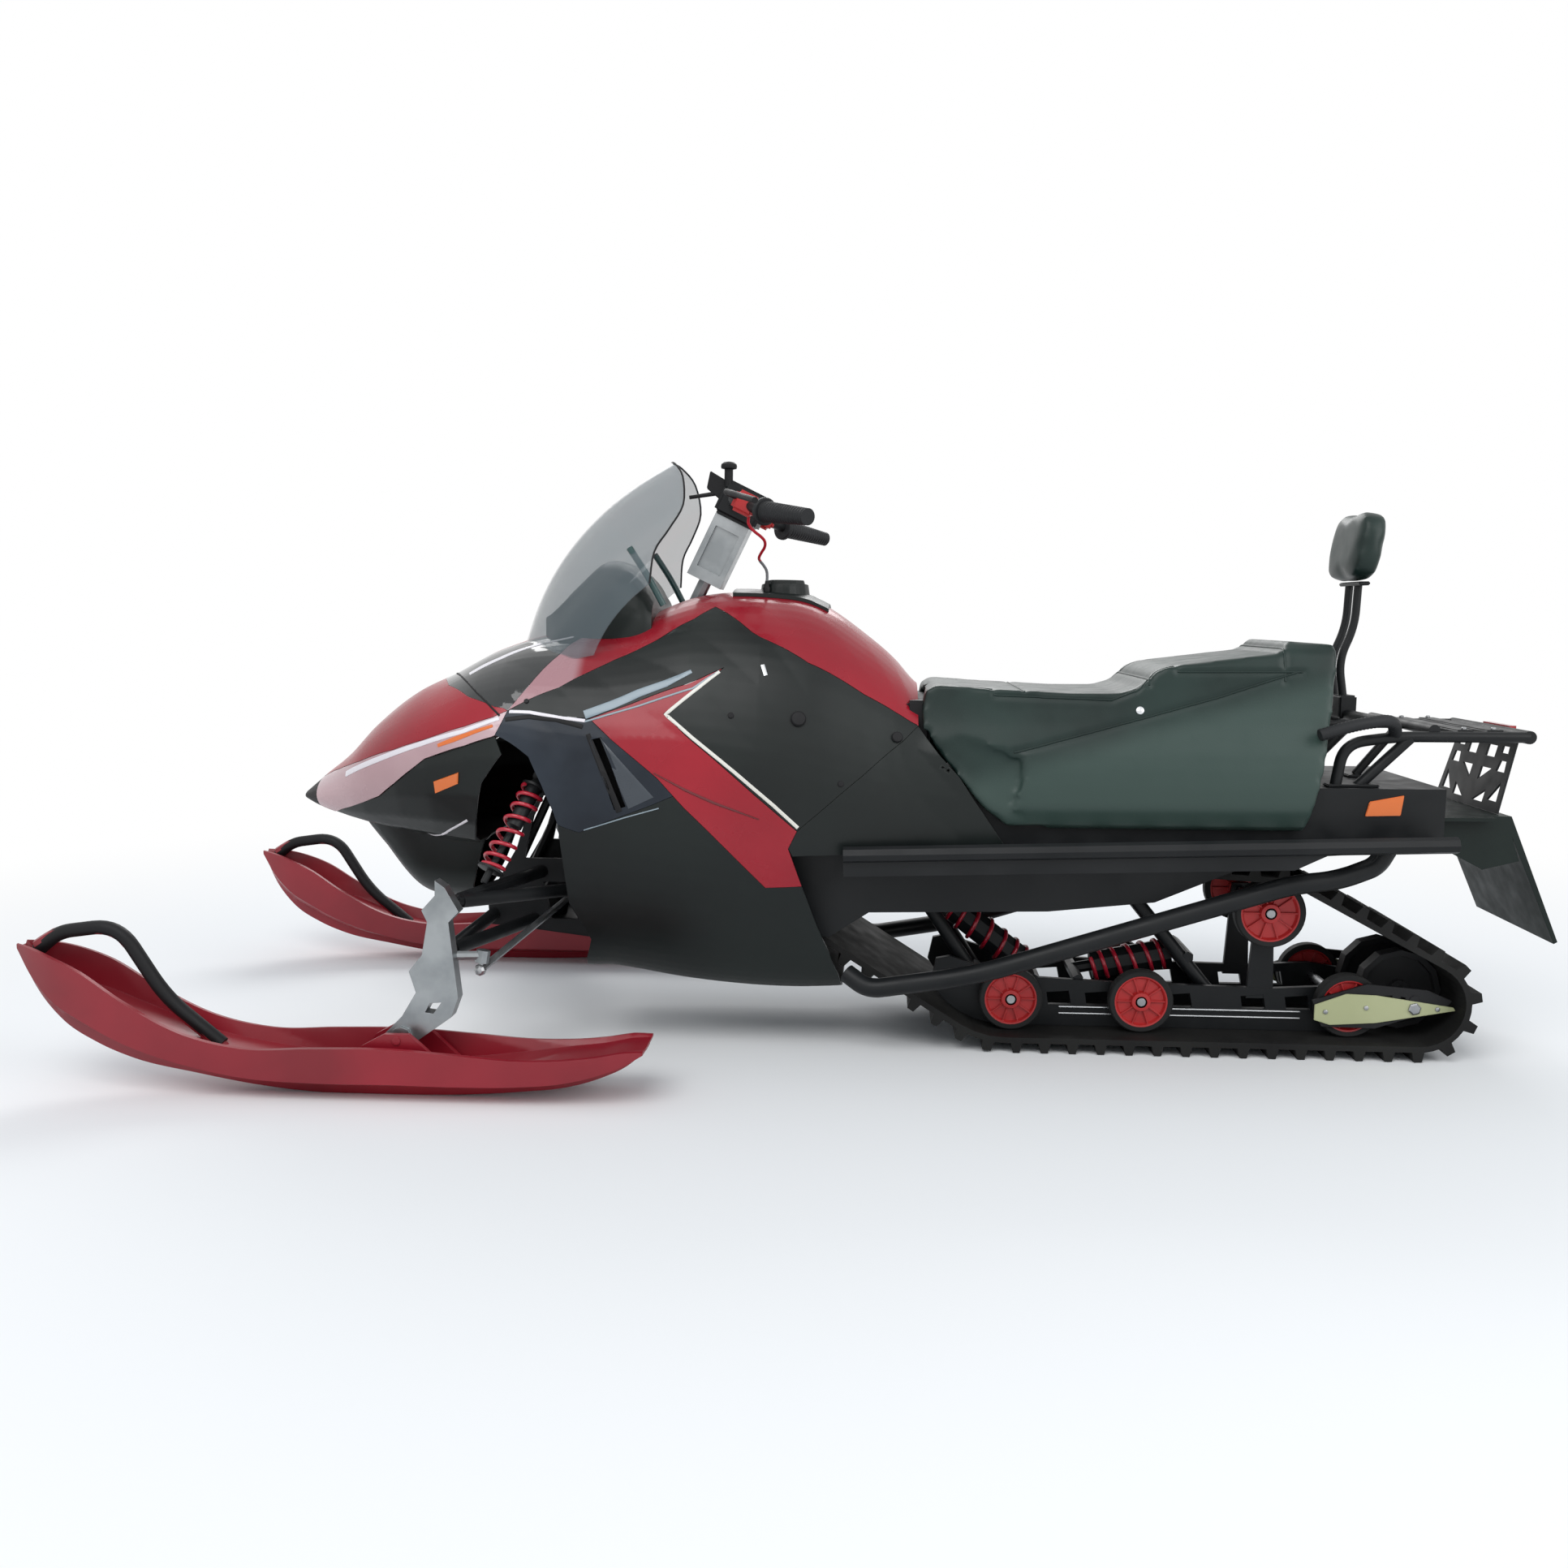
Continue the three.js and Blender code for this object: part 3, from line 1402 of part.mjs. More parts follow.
function steeringPost() {
  const { from, to, length, width, pocket, rim } = RISER;
  const shaft = bar([0, 0, 0.6], [0, 0, to], 14);
  const recess = block(-length / 2 + rim, length / 2 - rim, width / 2 - pocket, width, from + 2 * rim, to - 2 * rim);
  const riser = cut(block(-length / 2, length / 2, -width / 2, width / 2, from, to), recess, mirrored(recess));
  const arm = block(-PITMAN.reach - 14, 0, -18, 18, PITMAN.height - PITMAN.thickness, PITMAN.height);
  const cross = block(
    -PITMAN.reach - 14,
    -PITMAN.reach + 14,
    -PITMAN.spread - 16,
    PITMAN.spread + 16,
    PITMAN.height - PITMAN.thickness,
    PITMAN.height,
  );
  return onPost(join(shaft, riser, arm, cross, bar([0, 0, 6], [0, 0, 46], 20)));
}

// The middle line of the left half of the handlebar about the head of the post.
const BAR_LINE = [[8, 0, 0], [8, 90, 0], [2, 150, 0], [-70, 235, 0], [-164, 352, 25]];

function handlebar() {
  const across = ([x, y, z]) => [x, -y, z];
  const tube = bentTube([...BAR_LINE.slice(1).reverse().map(across), ...BAR_LINE.slice(1)], BAR_RADIUS, 60);
  const [root, tip] = BAR_LINE.slice(-2).map((p) => new THREE.Vector3(...p));
  const from = (share) => root.clone().lerp(tip, share).toArray();
  const grip = bar(from(0.07), from(1.02), 21, 16, 10);
  const flange = bar(from(0.035), from(0.105), 27, 27, 10);
  const [sx, sy] = SWITCH.at;
  const housing = block(sx - 24, sx + 24, sy - 20, sy + 20, -SWITCH.half, SWITCH.half);
  const lever = bentTube([[sx + 16, sy + 3, 5], [sx + 45, sy + 31, 3], [sx - 35, sy + 170, 9]], 6, 26, 6);
  const half = join(grip, flange, housing, lever);
  const bridge = block(-50, 46, -46, 46, RISER.to - BAR_HEIGHT + FIT, 36);
  const button = join(bar([38, 34, 20], [58, 34, 62], 9), bar([54, 34, 53], [60, 34, 66], 17, 17, 12));
  const brake = join(
    bar([40, 26, 8], [104, 26, -36], 5, 4, 6),
    upright(shapeOf([[30, -15], [79, -3], [88, 33], [37, 29]]), 13, 31),
  );
  return onPost(join(tube, half, mirrored(half), bridge, button, brake).translate(0, 0, BAR_HEIGHT));
}

// ---------------------------------------------------------------- tail light, engine and stop cord

function tailLight() {
  const front = RACK.rear - RACK.tube - 2 - FIT;
  return block(front - 13, front, -60, 60, RACK.z - 16, RACK.z + 14);
}

// The stub on the floor that carries the lower bearing of the steering post.
function steeringMount() {
  const { radius, height } = BEARING;
  const top = onAxis(-FIT);
  const foot = onAxis(-height - FIT);
  const cup = bar(foot.toArray(), top.toArray(), radius, radius - 6, 14);
  const stub = bar([foot.x + 4, 0, frameFloorAt(foot.x) - 10], onAxis(-height / 2).toArray(), radius - 4);
  const floor = frameFloor();
  return cut(join(cup, stub), floor, move(floor, 0, 0, FIT));
}

// Height of the top of the frame's floor.
function frameFloorAt(x) {
  return 222 + ((x - FRAME.rear) / (FRAME.front - FRAME.rear)) * 22;
}

function engine() {
  return block(126, 376, -180, 180, CRADLE.deck + FIT, 520);
}

// The route of the stop cord, from the deck plate beside the cap up to the switch on the bar.
const TETHER = {
  radius: 3,
  route: [
    [101, 46, 936],
    [101, 47, 958],
    [100, 49, 972],
    [101, 54, 985],
    [107, 63, 996],
    [112, 76, 1003],
    [113, 92, 1008],
    [110, 108, 1013],
    [104, 124, 1020],
    [98, 137, 1027],
    [95, 150, 1034],
    [96, 162, 1041],
    [102, 173, 1048],
    [111, 182, 1055],
    [120, 188, 1064],
    [125, 190, 1074],
    [124, 190, 1086],
  ],
};

function tether() {
  const route = TETHER.route.map((p) => new THREE.Vector3(...p));
  const cord = sweep(new Stations(route), TETHER.radius, route.length - 1);
  const controls = handlebar();
  const gap = onAxis(-FIT).sub(onAxis(0));
  const deck = fillerCap();
  return cut(cord, deck, move(deck, 0, 0, FIT), controls, controls.translate(gap.toArray()));
}

// ---------------------------------------------------------------- assembly

// colour, roughness, metalness
const PAINT = {
  red: [0xb01822, 0.25, 0],
  maroon: [0x4a0b12, 0.3, 0],
  black: [0x1b1c1f, 0.3, 0],
  coat: [0x1b1c1f, 0.45, 0.2],
  vinyl: [0x161b19, 0.55, 0],
  rubber: [0x141416, 0.8, 0],
  silver: [0xb9bcc2, 0.35, 0.9],
  pink: [0xd9c4c4, 0.3, 0],
  grey: [0x3d424b, 0.4, 0],
  glass: [0x8fa3ad, 0.1, 0],
  steel: [0x8b8f94, 0.4, 0.9],
};

const group = new THREE.Group();

function add(name, body, [color, roughness, metalness]) {
  const source = body.getMesh();
  const position = new Float32Array(source.numVert * 3);
  for (let i = 0; i < source.numVert; i++) {
    position.set(source.vertProperties.subarray(i * source.numProp, i * source.numProp + 3), i * 3);
  }
  const geometry = new THREE.BufferGeometry();
  geometry.setAttribute("position", new THREE.BufferAttribute(position, 3));
  geometry.setIndex(new THREE.BufferAttribute(source.triVerts, 1));
  geometry.computeVertexNormals();
  const mesh = new THREE.Mesh(geometry, new THREE.MeshStandardMaterial({ color, roughness, metalness }));
  mesh.name = name;
  group.add(mesh);
}

function addPair(name, body, paint) {
  add(`${name}_left`, body, paint);
  add(`${name}_right`, mirrored(body), paint);
}

add("tunnel", tunnel(), PAINT.coat);
addPair("running_board", join(runningBoard(), sideTube()), PAINT.coat);
add("belly_pan", bellyPan(), PAINT.black);
add("nose_cowl", noseCowl(), PAINT.black);
add("front_bumper", frontBumper(), PAINT.maroon);
add("hood", hood(), PAINT.red);
addPair("headlight", headlight(), PAINT.glass);
add("nose_trim", noseTrim(), PAINT.pink);
add("tank_cover", tankCover(), PAINT.red);
addPair("side_panel", sidePanel(), PAINT.black);
addPair("side_accent", sideAccent(), PAINT.red);
addPair("vent_panel", ventPanel(), PAINT.grey);
addPair("knee_panel", kneePanel(), PAINT.black);
add("dash_pod", dashPod(), PAINT.black);
add("windshield", windshield(), PAINT.glass);
add("filler_cap", fillerCap(), PAINT.grey);
add("seat", seat(), PAINT.vinyl);
add("backrest_frame", backrestFrame(), PAINT.coat);
add("backrest_pad", backrestPad(), PAINT.vinyl);
add("rear_rack", rearRack(), PAINT.coat);
add("rack_bracket", rackBracket(), PAINT.coat);
add("snow_flap", snowFlap(), PAINT.rubber);
add("track", track(), PAINT.rubber);
add("skid_frame", skidFrame(), PAINT.coat);
add("front_wheels", rollingSet(WHEEL_X.front), PAINT.red);
add("middle_wheels", rollingSet(WHEEL_X.middle), PAINT.red);
add("rear_wheels", rollingSet(WHEEL_X.rear), PAINT.red);
add("carrier_wheels", carrierWheels(), PAINT.red);
add("rear_idlers", rearIdlers(), PAINT.steel);
add("drive_axle", driveAxle(), PAINT.coat);
add("front_frame", frontFrame(), PAINT.coat);
add("steering_mount", steeringMount(), PAINT.coat);
addPair("suspension", suspension(), PAINT.coat);
add("engine", engine(), PAINT.steel);
addPair("shock", shock(), PAINT.red);
addPair("spindle", spindle(), PAINT.silver);
addPair("ski", ski(), PAINT.red);
addPair("tie_rod", tieRod(), PAINT.steel);
add("steering_post", steeringPost(), PAINT.silver);
add("handlebar", handlebar(), PAINT.coat);
add("stop_cord", tether(), PAINT.red);
add("tail_light", tailLight(), PAINT.red);

export default group;
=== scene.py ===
"""Looks of a utility snowmobile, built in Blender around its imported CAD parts.

The frame of the parts is used throughout: +X forward, +Y to the rider's left, +Z up, the floor at
Z = 0. Tables are in millimetres. Panels and skis are smooth copies of their CAD parts, the seat and
the back pad are soft ones, tubes get round skins, and the windshield, the wheels, the springs and
the cord are modelled here.
"""

import json
import math

import bmesh
import bpy
import numpy as np
from mathutils import Matrix, Vector
from mathutils.bvhtree import BVHTree
from mathutils.interpolate import poly_3d_calc


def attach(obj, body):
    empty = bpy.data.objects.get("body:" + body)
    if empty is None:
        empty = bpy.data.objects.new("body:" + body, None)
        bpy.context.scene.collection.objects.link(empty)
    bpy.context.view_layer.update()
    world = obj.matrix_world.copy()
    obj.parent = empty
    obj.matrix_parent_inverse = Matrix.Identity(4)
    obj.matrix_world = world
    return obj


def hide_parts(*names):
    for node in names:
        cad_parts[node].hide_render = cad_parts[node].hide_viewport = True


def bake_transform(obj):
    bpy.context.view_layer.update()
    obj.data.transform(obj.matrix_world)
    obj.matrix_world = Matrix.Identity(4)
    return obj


MM = 0.001
SIDES = (("left", 1), ("right", -1))

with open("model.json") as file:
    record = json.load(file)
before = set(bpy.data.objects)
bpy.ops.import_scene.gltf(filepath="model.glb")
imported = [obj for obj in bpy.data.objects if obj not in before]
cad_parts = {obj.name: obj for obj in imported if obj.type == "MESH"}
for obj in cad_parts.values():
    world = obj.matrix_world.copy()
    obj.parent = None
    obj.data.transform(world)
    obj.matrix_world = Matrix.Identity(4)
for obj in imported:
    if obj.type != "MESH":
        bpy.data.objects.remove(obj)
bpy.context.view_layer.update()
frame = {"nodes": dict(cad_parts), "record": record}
nodes = frame["nodes"]
SLOT_OF = {row["node"]: row["material_slot"] for row in frame["record"]["subparts"]}
BODY_OF = {n: body for body, names in frame["record"]["behaviour"]["bodies"].items() for n in names}

# ---- camera and light

CAMERA_AT = Vector((-0.145, 2.830, 0.889))
CAMERA_YAW = math.radians(4.31)  # towards +X from looking along -Y
CAMERA_DIP = math.radians(7.25)
CAMERA_LENS, CAMERA_SENSOR = 30.2, 36.0  # millimetres
WHITE = (1.0, 1.0, 1.0, 1.0)
SKY, SKY_STRENGTH = (0.86, 0.93, 1.0, 1.0), 0.6
FLOOR_GREY, FLOOR_ROUGHNESS = (0.9, 0.9, 0.9, 1.0), 0.9
FLOOR_REACH, FLOOR_SIDES, FLOOR_DROP = 30.0, 96, 0.001
FLOOR_FADE = (1.3, 3.6)  # metres from the origin where the paint starts to turn white, and is white


def add_object(name, data):
    obj = bpy.data.objects.new(name, data)
    bpy.context.scene.collection.objects.link(obj)
    return obj


def feed(node, inputs):
    """Sets each input of a node to a value, or joins it to an output."""
    for socket, value in inputs.items():
        if isinstance(value, bpy.types.NodeSocket):
            node.id_data.links.new(value, node.inputs[socket])
        else:
            node.inputs[socket].default_value = value


def set_up(thing, **settings):
    for setting, value in settings.items():
        setattr(thing, setting, value)
    return thing


def add_node(tree, kind, inputs=None, **settings):
    made = set_up(tree.nodes.new("ShaderNode" + kind), **settings)
    feed(made, inputs or {})
    return made


def object_place(tree):
    return add_node(tree, "TexCoord").outputs["Object"]


def make_camera():
    data = set_up(bpy.data.cameras.new("camera"), lens=CAMERA_LENS, sensor_width=CAMERA_SENSOR)
    camera = add_object("camera", data)
    level = math.cos(CAMERA_DIP)
    towards = Vector((math.sin(CAMERA_YAW) * level, -math.cos(CAMERA_YAW) * level, -math.sin(CAMERA_DIP)))
    camera.location = CAMERA_AT
    camera.rotation_euler = towards.to_track_quat("-Z", "Y").to_euler()
    bpy.context.scene.camera = camera


def area_light(name, place, target, size, watts):
    light = bpy.data.lights.new(name, "AREA")
    lamp = add_object(name, set_up(light, shape="RECTANGLE", size=size[0], size_y=size[1], energy=watts))
    lamp.location = place
    lamp.rotation_euler = (Vector(target) - Vector(place)).to_track_quat("-Z", "Y").to_euler()


def make_world():
    """Soft light from all round, seen as plain white by the camera, mirrors and glass."""
    world = bpy.data.worlds.new("studio")
    bpy.context.scene.world = world
    world.use_nodes = True
    tree = world.node_tree
    tree.nodes.clear()
    path = add_node(tree, "LightPath")
    seen = path.outputs["Is Camera Ray"]
    for ray in ("Is Glossy Ray", "Is Transmission Ray"):
        seen = add_node(tree, "Math", {0: seen, 1: path.outputs[ray]}, operation="MAXIMUM").outputs[0]
    sky = add_node(tree, "Background", {"Color": SKY, "Strength": SKY_STRENGTH})
    plain = add_node(tree, "Background", {"Color": WHITE, "Strength": 1.0})
    mix = add_node(tree, "MixShader", {0: seen, 1: sky.outputs[0], 2: plain.outputs[0]})
    add_node(tree, "OutputWorld", {"Surface": mix.outputs[0]})


def make_floor():
    """A round pale floor whose paint turns to plain white away from the machine, so that it has no edge."""
    turns = np.linspace(0, 2 * math.pi, FLOOR_SIDES, False)
    ring = [(FLOOR_REACH * math.cos(a), FLOOR_REACH * math.sin(a), 0.0) for a in turns]
    mesh = bpy.data.meshes.new("floor")
    mesh.from_pydata(ring, [], [tuple(range(FLOOR_SIDES))])
    floor = add_object("floor", mesh)
    floor.location.z = -FLOOR_DROP
    paint = bpy.data.materials.new("floor_white")
    paint.use_nodes = True
    tree = paint.node_tree
    shader = tree.nodes["Principled BSDF"]
    feed(shader, {"Base Color": FLOOR_GREY, "Roughness": FLOOR_ROUGHNESS, "Specular IOR Level": 0.0})
    away = add_node(tree, "VectorMath", {0: object_place(tree)}, operation="LENGTH").outputs["Value"]
    fade = {"From Min": FLOOR_FADE[0], "From Max": FLOOR_FADE[1], "Value": away}
    far = add_node(tree, "MapRange", fade, interpolation_type="SMOOTHSTEP").outputs["Result"]
    white = add_node(tree, "Emission")
    mix = add_node(tree, "MixShader", {0: far, 1: shader.outputs[0], 2: white.outputs[0]})
    feed(tree.nodes["Material Output"], {"Surface": mix.outputs[0]})
    mesh.materials.append(paint)


make_camera()
make_world()
make_floor()
area_light("key", (1.2, 3.6, 4.4), (0.0, 0.0, 0.5), (4.2, 3.0), 120.0)
area_light("fill", (-3.5, 2.5, 2.4), (-0.4, 0.0, 0.5), (2.6, 2.6), 60.0)
area_light("back", (0.5, -3.8, 3.4), (0.0, 0.0, 0.6), (3.6, 2.0), 90.0)
bpy.context.scene.view_settings.view_transform = "Standard"

# ---- materials

EDGE_RADIUS = 0.0011  # how far every edge looks rounded


def shader_of(paint):
    return paint.node_tree.nodes["Principled BSDF"]


def material(name, colour, roughness, metallic=0.0, coat=0.0, shine=0.5):
    """A principled material with plain values and softened edges, ready for detail."""
    paint = bpy.data.materials.new(name)
    paint.use_nodes = True
    edge = add_node(paint.node_tree, "Bevel", {"Radius": EDGE_RADIUS}, name="edge", samples=4)
    values = {"Base Color": (*colour, 1.0), "Roughness": roughness, "Metallic": metallic, "Coat Weight": coat}
    feed(shader_of(paint), {**values, "Specular IOR Level": shine, "Normal": edge.outputs["Normal"]})
    return paint


def noise(tree, scale, detail=4.0):
    """Noise in metres on the object, so that its grain has the same size on every part."""
    values = {"Scale": scale, "Detail": detail, "Vector": object_place(tree)}
    return add_node(tree, "TexNoise", values).outputs["Fac"]


def vary_roughness(paint, scale, low, high):
    tree = paint.node_tree
    values = {"From Min": 0.3, "From Max": 0.7, "To Min": low, "To Max": high, "Value": noise(tree, scale)}
    feed(shader_of(paint), {"Roughness": add_node(tree, "MapRange", values).outputs["Result"]})
    return paint


def detailed(paint, tones, roughness, relief):
    """Two tones and a roughness that drift, and fine relief over the softened edges.

    Each starts with the scale of its noise. The depth of the relief is in metres."""
    tree = paint.node_tree
    ramp = add_node(tree, "ValToRGB", {"Fac": noise(tree, tones[0])})
    for element, position, colour in zip(ramp.color_ramp.elements, (0.35, 0.65), tones[1:]):
        element.position = position
        element.color = (*colour, 1.0)
    values = {"Strength": 0.6, "Distance": relief[1], "Height": noise(tree, relief[0], 3.0)}
    bump = add_node(tree, "Bump", {**values, "Normal": tree.nodes["edge"].outputs["Normal"]})
    feed(shader_of(paint), {"Base Color": ramp.outputs["Color"], "Normal": bump.outputs["Normal"]})
    return vary_roughness(paint, *roughness)


def moulded(name, dark, light, low=0.16, high=0.3, coat=0.3, shine=0.5):
    paint = material(name, light, 0.25, coat=coat, shine=shine)
    return detailed(paint, (3.0, dark, light), (9.0, low, high), (260.0, 0.00004))


def textured(name, dark, light, low=0.45, high=0.62, depth=0.0003, shine=0.22):
    paint = material(name, light, 0.5, shine=shine)
    return detailed(paint, (6.0, dark, light), (24.0, low, high), (420.0, depth))


def metal(name, dark, light, low=0.3, high=0.45):
    paint = material(name, light, 0.35, metallic=0.9)
    return detailed(paint, (14.0, dark, light), (60.0, low, high), (500.0, 0.00005))


def clear(name, colour, roughness, alpha):
    paint = material(name, colour, roughness, coat=0.4)
    paint.node_tree.links.remove(shader_of(paint).inputs["Normal"].links[0])
    feed(shader_of(paint), {"Alpha": alpha})
    return vary_roughness(paint, 12.0, roughness, roughness + 0.05)


SEAT_VINYL = ((0.006, 0.015, 0.013), (0.011, 0.026, 0.022), 0.32, 0.44, 0.0002, 0.3)
# The record's slots first, then finishes of small pieces that take no slot of their own: each
# has the function that makes it and its values.
LOOKS = {
    "red_paint": (moulded, (0.26, 0.004, 0.014), (0.34, 0.008, 0.02), 0.2, 0.32, 0.1, 0.35),
    "black_plastic": (moulded, (0.004, 0.006, 0.006), (0.007, 0.011, 0.010), 0.3, 0.42, 0.0, 0.3),
    "grey_plastic": (textured, (0.014, 0.018, 0.025), (0.024, 0.031, 0.042), 0.3, 0.42, 0.0001),
    "pale_trim": (moulded, (0.42, 0.26, 0.28), (0.55, 0.38, 0.4)),
    "lamp_glass": (clear, (0.012, 0.015, 0.016), 0.05, 0.94),
    "shield_tint": (clear, (0.13, 0.17, 0.19), 0.05, 0.32),
    "frame_black": (textured, (0.007, 0.008, 0.009), (0.013, 0.014, 0.015), 0.35, 0.5, 0.00008),
    "seat_vinyl": (textured, *SEAT_VINYL),
    "track_rubber": (textured, (0.008, 0.008, 0.008), (0.016, 0.016, 0.015), 0.6, 0.8),
    "flap_rubber": (textured, (0.004, 0.008, 0.007), (0.008, 0.014, 0.012), 0.4, 0.55),
    "bare_aluminium": (metal, (0.26, 0.28, 0.29), (0.38, 0.4, 0.41)),
    "steel": (metal, (0.3, 0.31, 0.32), (0.42, 0.43, 0.44)),
    "wheel_red": (moulded, (0.34, 0.010, 0.012), (0.46, 0.018, 0.018), 0.4, 0.55, 0.05),
    "wheel_black": (textured, (0.010, 0.010, 0.011), (0.02, 0.02, 0.021)),
    "engine_metal": (metal, (0.05, 0.05, 0.052), (0.09, 0.09, 0.092), 0.5, 0.65),
    "spring_red": (moulded, (0.4, 0.008, 0.025), (0.5, 0.012, 0.035), 0.25, 0.4),
    "ski_plastic": (moulded, (0.2, 0.004, 0.012), (0.3, 0.008, 0.02), 0.34, 0.46, 0.1),
    "grip_black": (textured, (0.012, 0.013, 0.014), (0.022, 0.023, 0.025)),
    "tail_lens": (clear, (0.35, 0.006, 0.012), 0.12, 0.95),
    "tether_red": (textured, (0.4, 0.008, 0.02), (0.5, 0.014, 0.03), 0.4, 0.5, 0.0001),
    "white_line": (moulded, (0.74, 0.7, 0.74), (0.82, 0.79, 0.82), 0.3, 0.4),
    "cream_line": (moulded, (0.66, 0.64, 0.58), (0.76, 0.74, 0.68), 0.3, 0.4),
    "badge_blue": (moulded, (0.2, 0.26, 0.3), (0.29, 0.35, 0.39), 0.25, 0.35),
    "amber": (clear, (0.75, 0.16, 0.02), 0.15, 0.97),
    # darker red for the line along the red panel's fold: painted shade
    "crease_shade_red": (moulded, (0.1, 0.004, 0.008), (0.14, 0.006, 0.011)),
    "olive": (moulded, (0.36, 0.38, 0.2), (0.46, 0.48, 0.28), 0.4, 0.5, 0.0),
    "deep_black": (textured, (0.006, 0.006, 0.007), (0.011, 0.011, 0.012)),
    # the lighter grey of the vent's raised wedge: a painted highlight
    "wedge_highlight_grey": (moulded, (0.02, 0.027, 0.036), (0.035, 0.046, 0.06), 0.25, 0.35),
    "teal": (moulded, (0.012, 0.045, 0.045), (0.02, 0.065, 0.063)),
    "silver_dot": (metal, (0.62, 0.64, 0.66), (0.72, 0.74, 0.76), 0.2, 0.3),
    "tyre": (textured, (0.012, 0.012, 0.012), (0.02, 0.02, 0.02), 0.6, 0.75),
    "cord_grey": (textured, (0.16, 0.17, 0.18), (0.22, 0.23, 0.24), 0.4, 0.5, 0.0001),
    "tank_red_and_highlight": (moulded, (0.25, 0.004, 0.014), (0.33, 0.008, 0.02), 0.2, 0.32, 0.1, 0.35),
    "seat_side_sheen": (textured, *SEAT_VINYL),
}
LOOK = {name: make(name + "_look", *values) for name, (make, *values) in LOOKS.items()}


def two_tone(paint, colour, along, start, end):
    """The base colour turns to another one where a place, measured along a direction, goes from start to end."""
    tree, shader = paint.node_tree, shader_of(paint)
    base = shader.inputs["Base Color"].links[0].from_socket
    place = add_node(tree, "VectorMath", {0: object_place(tree), 1: along}, operation="DOT_PRODUCT")
    values = {"From Min": start, "From Max": end, "Value": place.outputs["Value"]}
    change = add_node(tree, "MapRange", values, interpolation_type="SMOOTHSTEP").outputs["Result"]
    mix = add_node(tree, "Mix", data_type="RGBA")
    feed(mix, {"Factor": change, 6: base, 7: (*colour, 1.0)})
    feed(shader, {"Base Color": mix.outputs[2]})


# red that turns to pale pink on the wedge beside the headlight: the pale pink is a painted highlight
two_tone(LOOK["tank_red_and_highlight"], (0.38, 0.2, 0.22), (1, 0, 0), 0.452, 0.478)
# dark vinyl that turns lighter under the crease of the seat's side, where a satin panel bulges out: the lighter tone
# is a painted sheen
two_tone(LOOK["seat_side_sheen"], (0.034, 0.058, 0.05), (-0.289, 0, -1), -0.508, -0.440)


def paint_with(obj, *names):
    obj.data.materials.clear()
    for name in names:
        obj.data.materials.append(LOOK[name])


for name, node in nodes.items():
    paint_with(node, SLOT_OF[name])

# ---- helpers for pieces


def finish_piece(obj, slot, body, look=None, stands_for=()):
    """Gives a piece its look, or else its slot's, its body and the CAD parts it stands for."""
    paint_with(obj, look or slot)
    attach(obj, body)
    if stands_for:
        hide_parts(*stands_for)
    return obj


def mesh_of(name, part, sharp=35.0):
    """A mesh from points in millimetres and faces, shaded smooth up to an angle."""
    mesh = bpy.data.meshes.new(name)
    mesh.from_pydata([tuple(c * MM for c in v) for v in part[0]], [], part[1])
    mesh.validate()
    mesh.update()
    smooth(mesh, sharp)
    return mesh


def mesh_piece(name, part, slot, body="chassis", look=None, stands_for=(), sharp=35.0):
    return finish_piece(add_object(name, mesh_of(name, part, sharp)), slot, body, look, stands_for)


def smooth(mesh, sharp):
    bm = bmesh.new()
    bm.from_mesh(mesh)
    bmesh.ops.recalc_face_normals(bm, faces=bm.faces)
    bm.to_mesh(mesh)
    bm.free()
    mesh.shade_smooth()
    mesh.set_sharp_from_angle(angle=math.radians(sharp))


def walls(rows, size, ring=False):
    """Quads between neighbouring rows of points. In a ring the last row joins the first."""
    total, faces = rows * size, []
    for i in range(rows - 1 + ring):
        for k in range(size):
            a, b = i * size + k, i * size + (k + 1) % size
            faces.append((a, b, (b + size) % total, (a + size) % total))
    return faces


def capped(rows, size):
    """Quads between rows of points, and a flat face at each end."""
    total = rows * size
    return [*walls(rows, size), tuple(reversed(range(size))), tuple(range(total - size, total))]


def off_axis(first, second, turn, radius):
    return (first * math.cos(turn) + second * math.sin(turn)) * radius


def sweep(points, radii, sides=18):
    """Points and faces of a round tube through a line of points, with flat ends."""
    points = [Vector(p) for p in points]
    ahead = [(b - a).normalized() for a, b in zip(points, points[1:])]
    normal, last, verts = ahead[0].orthogonal().normalized(), ahead[0], []
    for i, point in enumerate(points):
        before, after = ahead[max(i - 1, 0)], ahead[min(i, len(ahead) - 1)]
        tangent = (before + after).normalized()
        normal = last.rotation_difference(tangent) @ normal
        last = tangent
        side = tangent.cross(normal)
        radius = radii[i] if isinstance(radii, (list, tuple)) else radii
        verts += [point + off_axis(normal, side, 2 * math.pi * k / sides, radius) for k in range(sides)]
    return verts, capped(len(points), sides)


def arc(start, corner, end, t):
    """A place on the curve that leaves start towards a corner and comes to end from it."""
    return start * (1 - t) ** 2 + corner * 2 * t * (1 - t) + end * t * t


def bent(points, bend, steps=8):
    """A line of points with a smooth bend at every inner corner."""
    stops = [Vector(p) for p in points]
    line = [stops[0]]
    for before, corner, after in zip(stops, stops[1:], stops[2:]):
        back, on = before - corner, after - corner
        reach = min(bend, back.length * 0.48, on.length * 0.48)
        enter, leave = corner + back.normalized() * reach, corner + on.normalized() * reach
        line += [arc(enter, corner, leave, s / steps) for s in range(steps + 1)]
    line.append(stops[-1])
    return line


